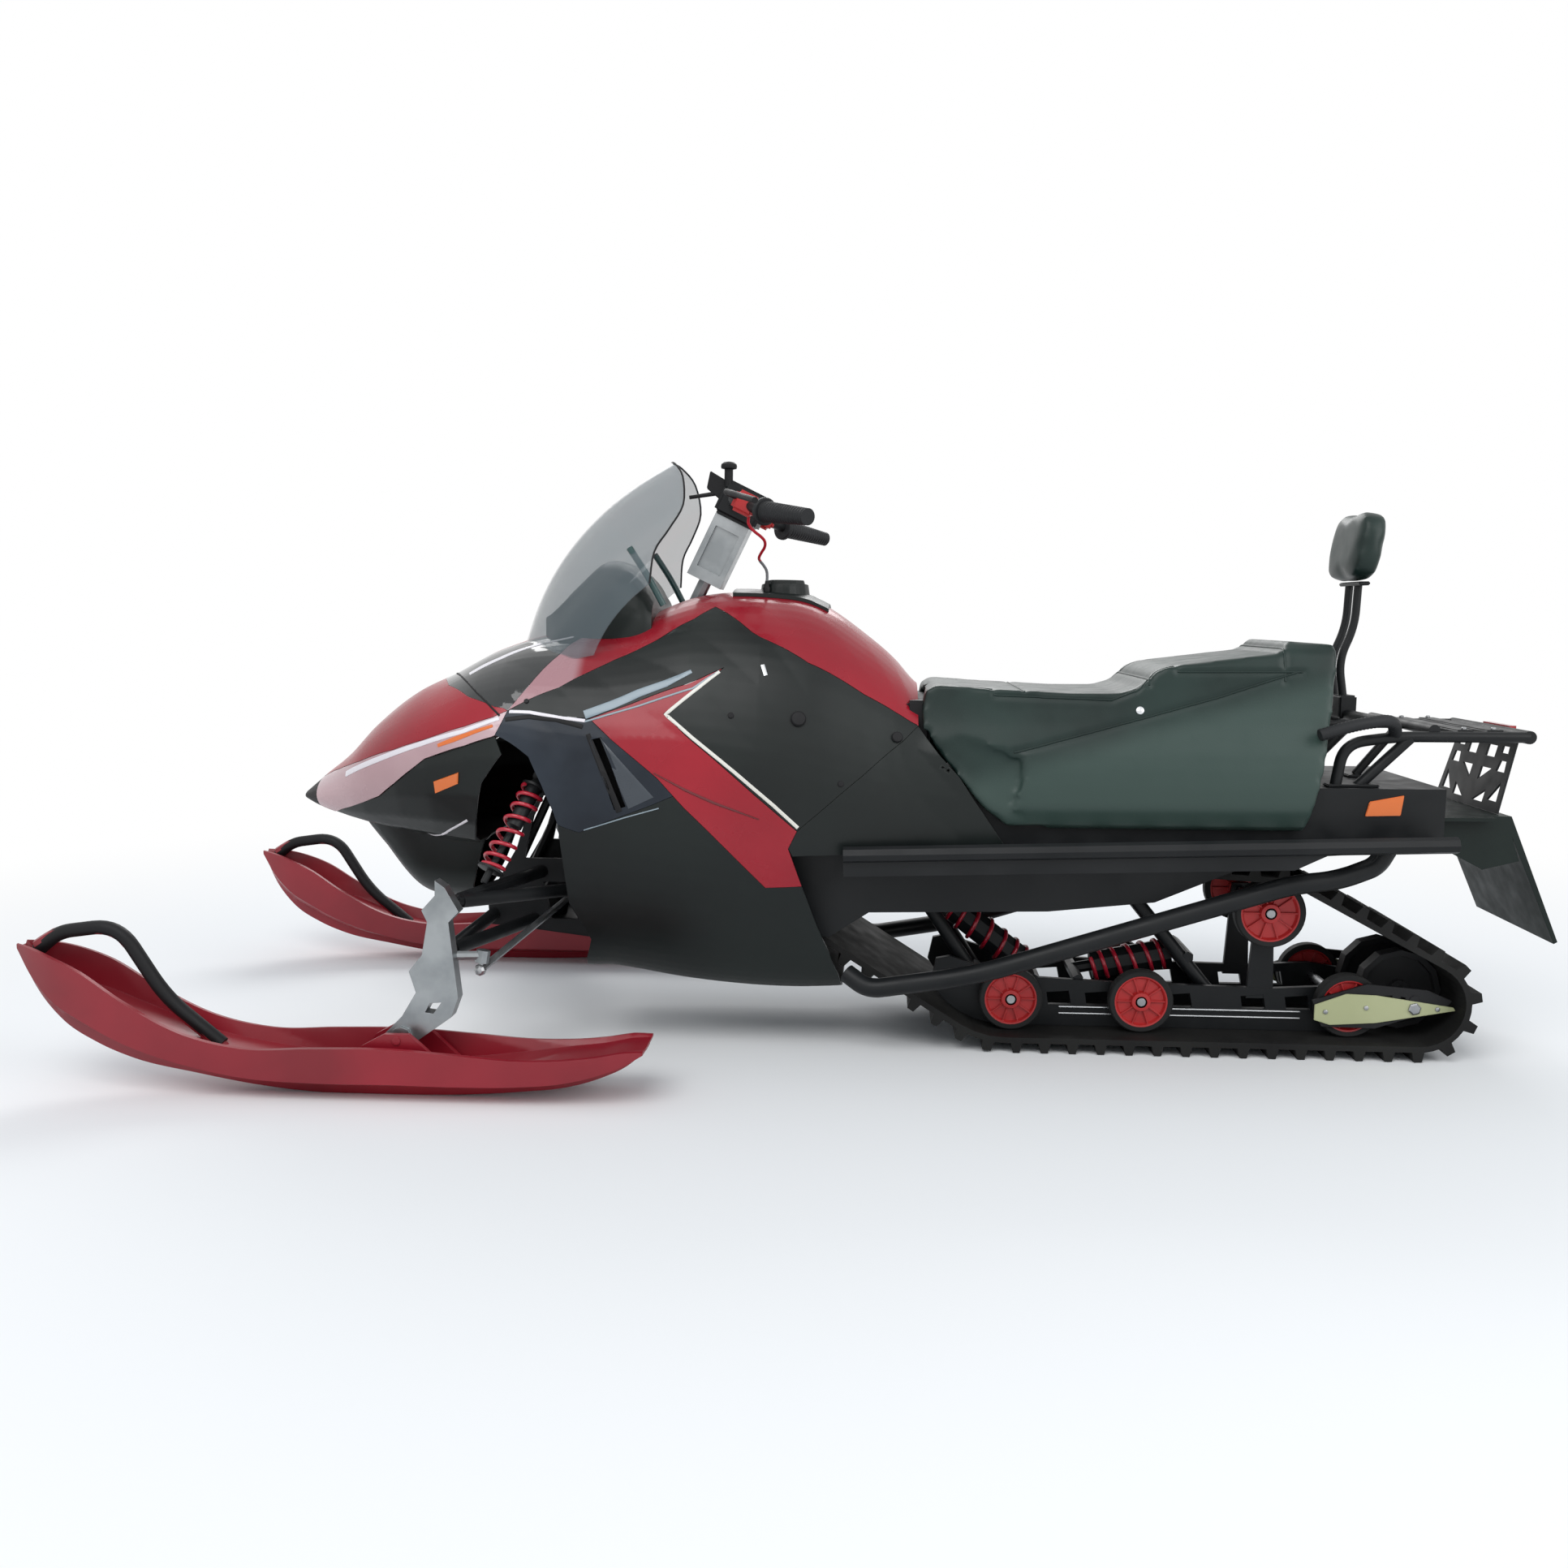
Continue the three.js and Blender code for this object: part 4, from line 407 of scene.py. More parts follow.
def smooth_line(points, parts=4):
    """A fair curve through points, with some parts between each two of them."""
    points = [Vector(p) for p in points]
    padded_line = [points[0] * 2 - points[1], *points, points[-1] * 2 - points[-2]]
    line = []
    for i in range(1, len(padded_line) - 2):
        a, b, c, d = padded_line[i - 1 : i + 3]
        for s in range(parts):
            t = s / parts
            square, cube = 2 * a - 5 * b + 4 * c - d, 3 * b - a - 3 * c + d
            line.append(0.5 * (2 * b + (c - a) * t + square * t**2 + cube * t**3))
    line.append(points[-1])
    return line


def merge(parts):
    """One list of points and faces from several."""
    verts, faces = [], []
    for v, f in parts:
        faces += [tuple(i + len(verts) for i in face) for face in f]
        verts += list(v)
    return verts, faces


def flipped(points):
    """Points on the other side of the machine."""
    return [Vector((x, -y, z)) for x, y, z in points]


def both(part):
    """Points and faces with their mirror image on the other side of the machine."""
    return merge([part, (flipped(part[0]), [tuple(reversed(f)) for f in part[1]])])


def lathe(rows, origin, axis, sides=40, ring=False):
    """Points and faces of a body of revolution: rows are (radius, distance along the axis).

    A ring has no ends: its last row joins its first."""
    axis = Vector(axis).normalized()
    first = axis.orthogonal().normalized()
    second = axis.cross(first)
    turns = [2 * math.pi * k / sides for k in range(sides)]
    verts = [
        Vector(origin) + axis * along + off_axis(first, second, turn, radius)
        for radius, along in rows
        for turn in turns
    ]
    return verts, walls(len(rows), sides, True) if ring else capped(len(rows), sides)


def slab(outline, y0, y1, rim=1.5):
    """A flat plate standing in (x, z) between two values of y, with a small bevel all round."""
    bm = bmesh.new()
    bottom = bm.faces.new([bm.verts.new((x, y0, z)) for x, z in outline])
    raised = bmesh.ops.extrude_face_region(bm, geom=[bottom])
    top = [v for v in raised["geom"] if isinstance(v, bmesh.types.BMVert)]
    bmesh.ops.translate(bm, vec=(0, y1 - y0, 0), verts=top)
    bmesh.ops.bevel(bm, geom=bm.edges[:], offset=rim, segments=2, affect="EDGES")
    bmesh.ops.recalc_face_normals(bm, faces=bm.faces)
    return drain(bm)


def drain(bm):
    """The points and faces of a bmesh, which is freed."""
    bm.verts.index_update()
    part = [v.co.copy() for v in bm.verts], [tuple(v.index for v in f.verts) for f in bm.faces]
    bm.free()
    return part


def brick(low, high, rim=2.0, turn=None, about=(0, 0, 0)):
    """A box with rounded edges, and turned about a point if asked."""
    bm = bmesh.new()
    bmesh.ops.create_cube(bm, size=1.0)
    for v in bm.verts:
        v.co = Vector((low[i] + (v.co[i] + 0.5) * (high[i] - low[i]) for i in range(3)))
    bmesh.ops.bevel(bm, geom=bm.edges[:], offset=rim, segments=3, affect="EDGES")
    verts, faces = drain(bm)
    if turn is not None:
        verts = [turn @ (v - Vector(about)) + Vector(about) for v in verts]
    return verts, faces


# ---- smooth skins


def softened(corners, steps):
    """Half an outline that bends smoothly near each inner corner, in (y, z)."""
    corners = [Vector(c) for c in corners]
    points = [corners[0]]
    for i in range(1, len(corners) - 1):
        before, here, after = corners[i - 1 : i + 2]
        enter = before if i == 1 else before.lerp(here, 0.5)
        leave = after if i == len(corners) - 2 else after.lerp(here, 0.5)
        points += [arc(enter, here, leave, s / steps) for s in range(1, steps + 1)]
    return points


HEART_Z = 520  # the skin of the body faces away from a line at this height
REACH_OUT, FADE = 45.0, 25.0  # a point this far off the skin stays, and over this last stretch it fades


class Skin:
    """A skin of straight facets between sections, and the smooth one it stands for.

    Each section is a line of points with `fine` steps to a facet. `carry` moves a point of the
    faceted skin onto the smooth one, and `nearest` finds a place on the smooth one.
    """

    def __init__(self, sections, fine, along=7, mirrored=True):
        exact = np.array([[tuple(p) for p in s] for s in sections], float)
        flat = exact.copy()
        count = exact.shape[1]
        for j in range(count):
            low = j // fine * fine
            high = min(low + fine, count - 1)
            if high > low:
                share = (j - low) / (high - low)
                flat[:, j] = exact[:, low] * (1 - share) + exact[:, high] * share
        middle = exact.mean(axis=1)
        step = np.linalg.norm(np.diff(middle, axis=0), axis=1)
        slope = np.empty_like(exact)
        lean = np.diff(exact, axis=0) / step[:, None, None]
        slope[0], slope[-1] = lean[0], lean[-1]
        for i in range(1, len(exact) - 1):
            slope[i] = (lean[i] * step[i - 1] + lean[i - 1] * step[i]) / (step[i - 1] + step[i])
        coarse, fair = [], []
        for i in range(len(exact) - 1):
            for s in range(along + (i == len(exact) - 2)):
                t = s / along
                coarse.append(flat[i] * (1 - t) + flat[i + 1] * t)
                fair.append(
                    exact[i] * (2 * t**3 - 3 * t**2 + 1)
                    + exact[i + 1] * (3 * t**2 - 2 * t**3)
                    + slope[i] * step[i] * (t**3 - 2 * t**2 + t)
                    + slope[i + 1] * step[i] * (t**3 - t**2)
                )
        coarse, fair = np.array(coarse).reshape(-1, 3), np.array(fair).reshape(-1, 3)
        self.mirrored = mirrored
        self.quads = [
            (r * count + c, r * count + c + 1, (r + 1) * count + c + 1, (r + 1) * count + c)
            for r in range(len(coarse) // count - 1)
            for c in range(count - 1)
        ]
        self.coarse, self.shift, self.fair = ([Vector(p) for p in row] for row in (coarse, fair - coarse, fair))
        self.flat_tree = BVHTree.FromPolygons(self.coarse, self.quads)
        self.fair_tree = BVHTree.FromPolygons(self.fair, self.quads)

    def folded(self, point):
        return Vector((point.x, abs(point.y), point.z)) if self.mirrored else point

    def carry(self, point):
        place, _, face, _ = self.flat_tree.find_nearest(self.folded(point))
        corners = self.quads[face]
        fade = min(1.0, max(0.0, (REACH_OUT - (place - self.folded(point)).length) / FADE))
        shift = Vector()
        for weight, corner in zip(poly_3d_calc([self.coarse[c] for c in corners], place), corners):
            shift += self.shift[corner] * weight
        if self.mirrored and point.y < 0:
            shift.y = -shift.y
        return point + shift * fade

    def nearest(self, point):
        """The nearest place on the smooth skin and its outward normal."""
        place, normal, _, _ = self.fair_tree.find_nearest(self.folded(Vector(point)))
        if normal.dot(Vector((0, place.y, place.z - HEART_Z))) < 0:
            normal = -normal
        return place, normal


FINE = 4  # smooth steps to one facet

# x, top z, half width of the shoulder, half width and z of the flank, half width and z of the floor
COWL = [
    (1119, 512, 30, 58, 501, 40, 490),
    (1075, 548, 52, 100, 512, 80, 478),
    (999, 606, 80, 160, 545, 120, 460),
    (942, 664, 100, 205, 575, 150, 450),
    (848, 735, 125, 262, 612, 190, 440),
    (770, 771, 140, 300, 632, 215, 430),
    (682, 817, 150, 325, 650, 235, 420),
    (624, 838, 155, 335, 655, 245, 400),
    (500, 862, 160, 340, 640, 265, 185),
    (396, 880, 165, 342, 620, 262, 172),
    (240, 934, 168, 340, 600, 255, 146),
    (100, 938, 170, 330, 570, 245, 132),
    (4, 924, 165, 315, 545, 240, 130),
    (-108, 852, 160, 290, 525, 235, 140),
    (-169, 800, 165, 275, 515, 235, 160),
    (-212, 752, 180, 265, 510, 235, 180),
    (-300, 720, 220, 250, 500, 235, 220),
    (-420, 700, 225, 240, 500, 232, 260),
]

# x, top z, half width at the top, half width and z of the floor
NOSE = [
    (996, 500, 84, 76, 484),
    (924, 560, 120, 92, 378),
    (856, 600, 138, 100, 292),
    (806, 612, 146, 104, 276),
    (700, 620, 152, 110, 288),
    (585, 640, 152, 110, 440),
]

# x, top z, half width at the top, half width at the foot
DASH = [
    (575, 868, 26, 44),
    (550, 902, 54, 76),
    (495, 962, 84, 112),
    (440, 1006, 98, 138),
    (400, 1002, 104, 150),
    (345, 960, 104, 152),
    (330, 930, 94, 146),
]

# y, x and z of the lower edge, x and z of the upper edge
SHIELD = [
    (0, 626, 852, 306, 1212),
    (45, 624, 850, 292, 1205),
    (90, 608, 850, 270, 1174),
    (130, 578, 852, 264, 1115),
    (165, 538, 856, 288, 1064),
    (190, 488, 862, 314, 1018),
    (205, 430, 872, 322, 955),
]
SHIELD_BULGE = (124, 52)
SHIELD_FOOT = 60
SHIELD_SPREAD = 260  # how far to the side the bulge would end

SKI_HALF = 68  # half the width of a ski
# x, floor of the keel, top of the rim, how much each side draws in, depth of the deck under the rim
SKI = [
    (283, 98, 107, 10, 3),
    (320, 66, 106, 6, 6),
    (364, 44, 98, 4, 8),
    (435, 22, 90, 2, 10),
    (514, 12, 88, 0, 20),
    (631, 3, 96, 0, 42),
    (756, 0, 104, 0, 52),
    (901, 0, 102, 0, 44),
    (1030, 12, 99, 0, 26),
    (1147, 32, 124, 2, 26),
    (1266, 57, 185, 6, 40),
    (1339, 87, 232, 11, 56),
    (1401, 127, 258, 20, 60),
    (1447, 185, 271, 34, 44),
    (1484, 262, 276, 50, 6),
]


def lifted(x, half):
    return [Vector((x, y, z)) for y, z in half]


def soft_skin(rows, corners_of, steps):
    """A skin from rows of x and sizes, through the corners that these sizes give."""
    return Skin([lifted(x, softened(corners_of(*sizes), steps * FINE)) for x, *sizes in rows], FINE)


def cowl_corners(top, shoulder, flank, flank_z, floor, floor_z):
    return [(0, top), (shoulder, top), (flank, flank_z), (floor, floor_z), (floor / 2, floor_z), (0, floor_z)]


def nose_corners(top, wide, floor, floor_z):
    return [(0, top), (wide, top), (wide, (top + floor_z) / 2), (floor, floor_z), (0, floor_z)]


def dash_corners(top, wide, foot):
    return [(0, top), (wide, top), (foot, 900), (foot, 800), (0, 800)]


SHIELD_RIBS = [(-row[0], *row[1:]) for row in SHIELD[:0:-1]] + SHIELD


def shield_skin():
    sections = []
    for y, x0, z0, x1, z1 in SHIELD_RIBS:
        share = 1 - abs(y) / SHIELD_SPREAD
        foot, tip = Vector((x0 + 8, y, z0 - SHIELD_FOOT)), Vector((x1, y, z1))
        belly = foot.lerp(tip, 0.5) + Vector((SHIELD_BULGE[0] * share, 0, SHIELD_BULGE[1] * share))
        sections.append([arc(foot, belly, tip, t) for t in np.linspace(0, 1, 6 * FINE + 1)])
    return Skin(sections, FINE, mirrored=False)


def ski_skin():
    sections = []
    for x, low, high, drawn, deck in SKI:
        half = SKI_HALF - drawn
        rim, keel = min(8, half / 4), min(16, half / 2)
        shoulder = low + (high - low) * 0.35
        outline = [(0, high - deck), (half - rim * 2, high - deck), (half - rim, high), (half, high - 1)]
        outline += [(half, shoulder), (keel + 6, low + (high - low) * 0.18), (keel, low), (0, low)]
        sections.append(lifted(x, outline))
    return Skin(sections, 1)


def refined(name, skin, edge=11.0, sharp=32.0, middle=0.0, look=None):
    """A smooth copy of a CAD part: its facets are split small and carried onto the smooth skin."""
    source = nodes[name]
    bm = bmesh.new()
    bm.from_mesh(source.data)
    bm.transform(Matrix.Scale(1 / MM, 4) @ source.matrix_world)
    bmesh.ops.remove_doubles(bm, verts=bm.verts, dist=0.02)
    for _ in range(6):
        split = [e for e in bm.edges if e.calc_length() > edge]
        if not split:
            break
        bmesh.ops.subdivide_edges(bm, edges=split, cuts=1)
        bmesh.ops.triangulate(bm, faces=[f for f in bm.faces if len(f.verts) > 3])
    away = Vector((0, middle, 0))
    for v in bm.verts:
        v.co = skin.carry(v.co - away) + away
        v.co.z = max(v.co.z, 0.0)
    return mesh_piece(name + "_shape", drain(bm), SLOT_OF[name], BODY_OF[name], look, (name,), sharp)


COWL_SKIN = soft_skin(COWL, cowl_corners, 3)
SKINNED = ["hood", "nose_trim", "belly_pan", "front_bumper"]
for pair in ("headlight", "side_panel", "side_accent", "vent_panel", "knee_panel"):
    SKINNED += [pair + "_left", pair + "_right"]
SKINNED += ["tank_cover", "filler_cap"]
PANEL_LOOKS = {"front_bumper": "deep_black", "tank_cover": "tank_red_and_highlight"}
panels = [refined(name, COWL_SKIN, look=PANEL_LOOKS.get(name)) for name in SKINNED]
panels.append(refined("nose_cowl", soft_skin(NOSE, nose_corners, 3), 14.0))
refined("dash_pod", soft_skin(DASH, dash_corners, 4))

SHEET_THICK, SHEET_SINK = 2.4, 5.0  # the windshield's thickness, and how far its foot goes into the cowl


def sunk(point):
    """How deep a point lies under the skin of the cowl."""
    place, normal = COWL_SKIN.nearest(point)
    return (place - COWL_SKIN.folded(point)).dot(normal)


def windshield():
    """The smooth sheet down to just inside the cowl, with an even thickness."""
    skin = shield_skin()
    bm = bmesh.new()
    corners = [bm.verts.new(p) for p in skin.fair]
    for quad in skin.quads:
        if min(sunk(skin.fair[c]) for c in quad) < SHEET_SINK:
            bm.faces.new([corners[c] for c in quad])
    bmesh.ops.delete(bm, geom=[v for v in bm.verts if not v.link_faces], context="VERTS")
    bmesh.ops.recalc_face_normals(bm, faces=bm.faces)
    bmesh.ops.solidify(bm, geom=bm.faces[:], thickness=SHEET_THICK)
    return drain(bm)


mesh_piece("windshield_shape", windshield(), "shield_tint", stands_for=("windshield",), sharp=50.0)
SKI_Y = 500
for side, sign in SIDES:
    refined("ski_" + side, ski_skin(), 16.0, 30.0, middle=sign * SKI_Y)

# ---- lines and marks laid on surfaces


def tree_of(pieces):
    """One search tree over the surfaces of several pieces, in millimetres."""
    meshes = [piece.data for piece in pieces]
    parts = [([v.co / MM for v in m.vertices], [f.vertices for f in m.polygons]) for m in meshes]
    return BVHTree.FromPolygons(*merge(parts))


def shares(a, b, step):
    """Where to cut the way from a to b, from 0 to 1, for parts no longer than a step."""
    count = max(1, math.ceil((b - a).length / step))
    return [i / count for i in range(count)]


def stepped(points, step):
    """Points along a line of points, no more than a step apart."""
    points = [Vector(p) for p in points]
    line = [a.lerp(b, t) for a, b in zip(points, points[1:]) for t in shares(a, b, step)]
    return [*line, points[-1]]


def outward(point):
    """The way out of the body of the machine at a place on its side."""
    return COWL_SKIN.nearest(point)[1]


def landed(point, way, reach=24.0):
    """Where a point comes down on the panels, and the point itself when it meets none."""
    return PANELS.ray_cast(point + way * reach, -way, reach * 2.2)[0] or point


def ribbon(points, width, height=1.6, step=7.0):
    """Points and faces of a thin band laid on the panels. Width is one value or one for each point."""
    marks = list(zip(points, width if isinstance(width, list) else [width] * len(points)))
    stations = []
    for (a, wa), (b, wb) in zip(marks, marks[1:]):
        stations += [(a.lerp(b, t), wa + (wb - wa) * t) for t in shares(a, b, step)]
    stations.append(marks[-1])
    verts = []
    lane = [(-0.5, -1.2), (-0.5, height * 0.5), (-0.3, height), (0.3, height), (0.5, height * 0.5), (0.5, -1.2)]
    for i, (point, wide) in enumerate(stations):
        before, after = stations[max(i - 1, 0)][0], stations[min(i + 1, len(stations) - 1)][0]
        up = outward(point)
        side = up.cross(after - before).normalized()
        verts += [landed(point + side * share * wide, up) + up * rise for share, rise in lane]
    return verts, capped(len(stations), len(lane))


def patch(outline, height):
    """Points and faces of a thin plate with a given outline laid on the panels."""
    outline = stepped([*outline, outline[0]], 6.0)[:-1]
    centre = sum(outline, Vector()) / len(outline)
    up = outward(centre)
    rings = []
    for share, rise in ((1.0, -1.2), (1.0, height * 0.6), (0.94, height), (0.5, height)):
        rings.append([landed(centre.lerp(p, share), up) + up * rise for p in outline])
    verts = [v for ring in rings for v in ring]
    verts.append(landed(centre, up) + up * height)
    size = len(outline)
    faces, top = walls(len(rings), size), (len(rings) - 1) * size
    faces += [(top + k, top + (k + 1) % size, len(verts) - 1) for k in range(size)]
    faces.append(tuple(reversed(range(size))))
    return verts, faces


def carried(points):
    return [COWL_SKIN.carry(Vector(p)) for p in points]


PANELS = tree_of(panels)

# name, slot, finish, width, points
LINES = [
    ("pinstripe", "pale_trim", "white_line", [13, 12, 10, 9, 8],
     [(983, 152, 560), (896, 206, 593), (778, 259, 635), (687, 282, 662), (612, 284, 687)]),
    ("marker", "tail_lens", "amber", [7, 10, 6], [(740, 275, 633), (705, 281, 645), (622, 286, 673)]),
    # the headlight's top: a white band laid where the glass shows glare, a painted highlight
    ("lamp_top", "pale_trim", "white_line", [16, 16, 10, 5],
     [(706, 165, 770), (640, 146, 802), (572, 126, 838), (500, 113, 872)]),
    ("lamp_seam", "black_plastic", "deep_black", 4, [(757, 89, 769), (671, 237, 738), (612, 281, 692)]),
    ("sill", "pale_trim", "white_line", 7, [(594, 277, 698), (551, 274, 696), (495, 282, 690), (438, 283, 684)]),
    ("badge_strip", "bare_aluminium", "badge_blue", [18, 18, 17, 15, 8],
     [(440, 278, 695), (389, 270, 714), (337, 261, 738), (283, 256, 756), (233, 244, 779)]),
    ("badge_line", "bare_aluminium", "badge_blue", 4,
     [(438, 283, 682), (335, 269, 712), (229, 259, 747), (180, 241, 776)]),
    ("chevron", "pale_trim", "cream_line", 7,
     [(178, 241, 776), (280, 278, 696), (225, 294, 653), (145, 296, 588), (66, 295, 522), (19, 292, 479)]),
    # a darker red line along a fold of the red side panel: painted shade in the crease
    ("crease", "red_paint", "crease_shade_red", [2, 5, 5, 2],
     [(300, 306, 584), (238, 305, 552), (182, 305, 527), (95, 300, 496)]),
    ("vent_lip", "grey_plastic", "deep_black", 9,
     [(600, 287, 684), (550, 280, 688), (495, 284, 685), (442, 288, 673)]),
    ("vent_slot", "grey_plastic", "deep_black", [9, 11, 12], [(431, 294, 660), (400, 303, 585), (368, 312, 509)]),
    ("vent_line", "grey_plastic", "badge_blue", 2.5, [(439, 308, 471), (358, 310, 497), (290, 312, 517)]),
    ("moulding", "pale_trim", "white_line", 5, [(815, 139, 434), (754, 194, 457), (693, 249, 480)]),
]
for name, slot, finish, width, points in LINES:
    mesh_piece(name, both(ribbon(carried(points), width)), slot, look=finish)

# name, slot, finish, height, outline
PATCHES = [
    ("nose_reflector", "tail_lens", "amber", 4, [(753, 264, 560), (696, 283, 580), (700, 279, 556), (752, 260, 536)]),
    # a raised wedge on the vent panel, in a lighter grey that is a painted highlight
    ("pale_wedge", "grey_plastic", "wedge_highlight_grey", 1, [(408, 296, 655), (300, 311, 538), (350, 311, 515)]),
]
for name, slot, finish, height, outline in PATCHES:
    mesh_piece(name, both(patch(carried(outline), height)), slot, look=finish)


def stud(at, radius, height):
    """A round boss with a domed head standing on the panels."""
    up = outward(at)
    rows = [(radius, -2), (radius, height * 0.6), (radius * 0.85, height * 0.9), (radius * 0.3, height)]
    return lathe(rows, landed(at, up), up, 20)


# x, y, z, radius, height
KNOBS = [(21, 256, 688, 15, 9), (-173, 221, 651, 11, 7), (560, 268, 720, 5, 3), (150, 292, 700, 6, 3),
         (-60, 252, 560, 6, 3)]
knobs = merge([stud(*carried([place]), radius, height) for *place, radius, height in KNOBS])
mesh_piece("panel_knobs", both(knobs), "black_plastic", look="deep_black")
dot = ribbon(carried([(93, 231, 792), (87, 233, 768)]), 8, 2.0)
mesh_piece("panel_dots", both(dot), "bare_aluminium", look="silver_dot")

# ---- tubes over the frame

SKIN = 0.5  # how far a round skin stands over the CAD tube inside it

# name, radius, bend, points; each is also made on the other side
TUBES = [
    ("side_tube", 19, 70, [(-1117, 246, 442), (-1100, 246, 410), (-1030, 246, 381),
     (-945, 246, 371), (-330, 246, 176), (-120, 240, 142), (-76, 216, 168)]),
    ("arm_upper_front", 13, 1, [(574, 121, 352), (656, 420, 354)]),
    ("arm_upper_rear", 13, 1, [(470, 121, 318), (652, 430, 353)]),
    ("arm_lower_front", 13, 1, [(682, 121, 258), (675, 430, 260)]),
    ("arm_lower_rear", 13, 1, [(592, 121, 248), (670, 430, 259)]),
    ("rail_nose_arm", 14, 1, [(-352, 60, 118), (-178, 60, 380)]),
    ("rail_rear_arm", 14, 1, [(-842, 60, 96), (-636, 60, 350)]),
]
for name, radius, bend, points in TUBES:
    mesh_piece(name + "_skin", both(sweep(bent(points, bend), radius + SKIN)), "frame_black")

# the rack
RACK_Y, RACK_TUBE = 170, 11
RACK_SIDE = [(-1040, 559), (-1052, 640), (-1150, 655), (-1402, 655)]
SLATS_X = (-1284, -1340)
rack = [
    sweep(bent([(x, RACK_Y, z) for x, z in RACK_SIDE], 60), RACK_TUBE),
    sweep([(-1078, RACK_Y - 8, 548), (-1178, RACK_Y, 652)], RACK_TUBE),
    brick((-1120, RACK_Y - 16, 555.2), (-1020, RACK_Y + 16, 561)),
]
HAND_GRIP = [(-985, 62, 662), (-1060, 56, 684), (-1128, 45, 692), (-1150, 0, 660)]
grip_line = stepped(bent([(x, RACK_Y + out, z) for x, out, z in HAND_GRIP], 30), 4.0)
hand_grip = sweep(grip_line, [12.5 if i % 2 else 11.4 for i in range(len(grip_line))])
rack_middle = [
    sweep([(-1402, -RACK_Y - 6, 655), (-1402, RACK_Y + 6, 655)], RACK_TUBE + 2),
    sweep([(-1224, -RACK_Y, 668), (-1224, RACK_Y, 668)], RACK_TUBE),
    sweep([(-1100, -RACK_Y - 42, 688), (-1100, RACK_Y + 42, 688)], RACK_TUBE),
    sweep([(-1222, 0, 668), (-1136, 0, 560)], 9),
    brick((-1160, -22, 555.2), (-1116, 22, 561)),
]
slats = [brick((x - 18, -RACK_Y, 659), (x + 18, RACK_Y, 669), 3) for x in SLATS_X]
bolts = [lathe([(5, 0), (5, 3), (3.5, 4.5)], (x, y, 669), (0, 0, 1), 12)
         for x in SLATS_X for y in (-RACK_Y + 12, RACK_Y - 12)]
rack_parts = merge([both(merge(rack)), *rack_middle, *slats])
mesh_piece("rack_shape", rack_parts, "frame_black", stands_for=("rear_rack",))
mesh_piece("rack_grips", both(hand_grip), "grip_black")
mesh_piece("rack_bolts", merge(bolts), "steel")

# the back pad's posts
post = sweep(bent([(-1113, 26, 958), (-1110, 26, 868), (-1082, 26, 800), (-1100, 26, 688)], 40), 8)
clamp = [brick((-1118, -42, 680), (-1082, 42, 728), 4), brick((-1125, -60, 952), (-1103, 60, 960), 2)]
mesh_piece("back_posts", merge([both(post), *clamp]), "frame_black", stands_for=("backrest_frame",))

# ski handles
HOOP = [(1452, 262), (1410, 296), (1292, 312), (1206, 172), (1100, 84)]
for side, sign in SIDES:
    hoop = sweep(bent([(x, sign * SKI_Y, z) for x, z in HOOP], 50), 13 + SKIN)
    mesh_piece(f"ski_{side}_handle", hoop, "frame_black", side + "_ski", "deep_black")

# ---- steering

BAR_HEIGHT = 901  # along the post
POST_FOOT = Vector((560, 0, 318))
POST_TURN = Matrix(((0.8944, 0, -0.4472), (0, 1, 0), (0.4472, 0, 0.8944)))


def on_post(part):
    """From the frame of the post, with its own axis upright, to its place on the machine."""
    verts, faces = part
    return [POST_TURN @ (Vector(v) + Vector((0, 0, BAR_HEIGHT))) + POST_FOOT for v in verts], faces


BAR_RADIUS = 11
BAR_LINE = [(8, 90, 0), (2, 150, 0), (-70, 235, 0), (-164, 352, 25)]
root, tip = Vector(BAR_LINE[-2]), Vector(BAR_LINE[-1])
bar = sweep(bent([(x, -y, z) for x, y, z in reversed(BAR_LINE)] + BAR_LINE, 60), BAR_RADIUS)
GRIP_RIBS = 36
grip_points = [root.lerp(tip, 0.07 + 0.95 * i / GRIP_RIBS) for i in range(GRIP_RIBS + 1)]
grip_radii = [21 - 5 * i / GRIP_RIBS - (1.4 if i % 2 else 0) for i in range(GRIP_RIBS + 1)]
flange = sweep([root.lerp(tip, s) for s in (0.035, 0.05, 0.09, 0.105)], [25, 27, 27, 25], 28)
housing = brick((-54, 170, -22), (-6, 210, 22), 7)
hand = merge([sweep(grip_points, grip_radii, 24), flange])
lever = sweep(bent([(-14, 193, 5), (15, 221, 3), (-65, 360, 9)], 26), [6.5] * 5 + [6] * 6)
switches = [lathe([(5, 0), (5, 4), (3, 5)], (-54, y, z), (-1, 0, 0), 14) for y, z in ((180, 8), (196, -6))]
bridge = brick((-50, -46, -38.7), (46, 46, 36), 8)
stem = sweep([(38, 34, 20), (58, 34, 62)], 9)
brake_plate = slab([(30, -15), (79, -3), (88, 33), (37, 29)], 13, 31)
brake = [sweep([(40, 26, 8), (104, 26, -36)], [5, 4]), brake_plate, stem]
mushroom = lathe([(8, 0), (16, 2), (17, 6), (16, 11), (11, 15), (3, 16.5)], (53, 34, 52), (0.42, 0, 0.907), 28)
clamps = [brick((-4, y - 9, -16), (20, y + 9, 16), 3) for y in (-58, 58)]
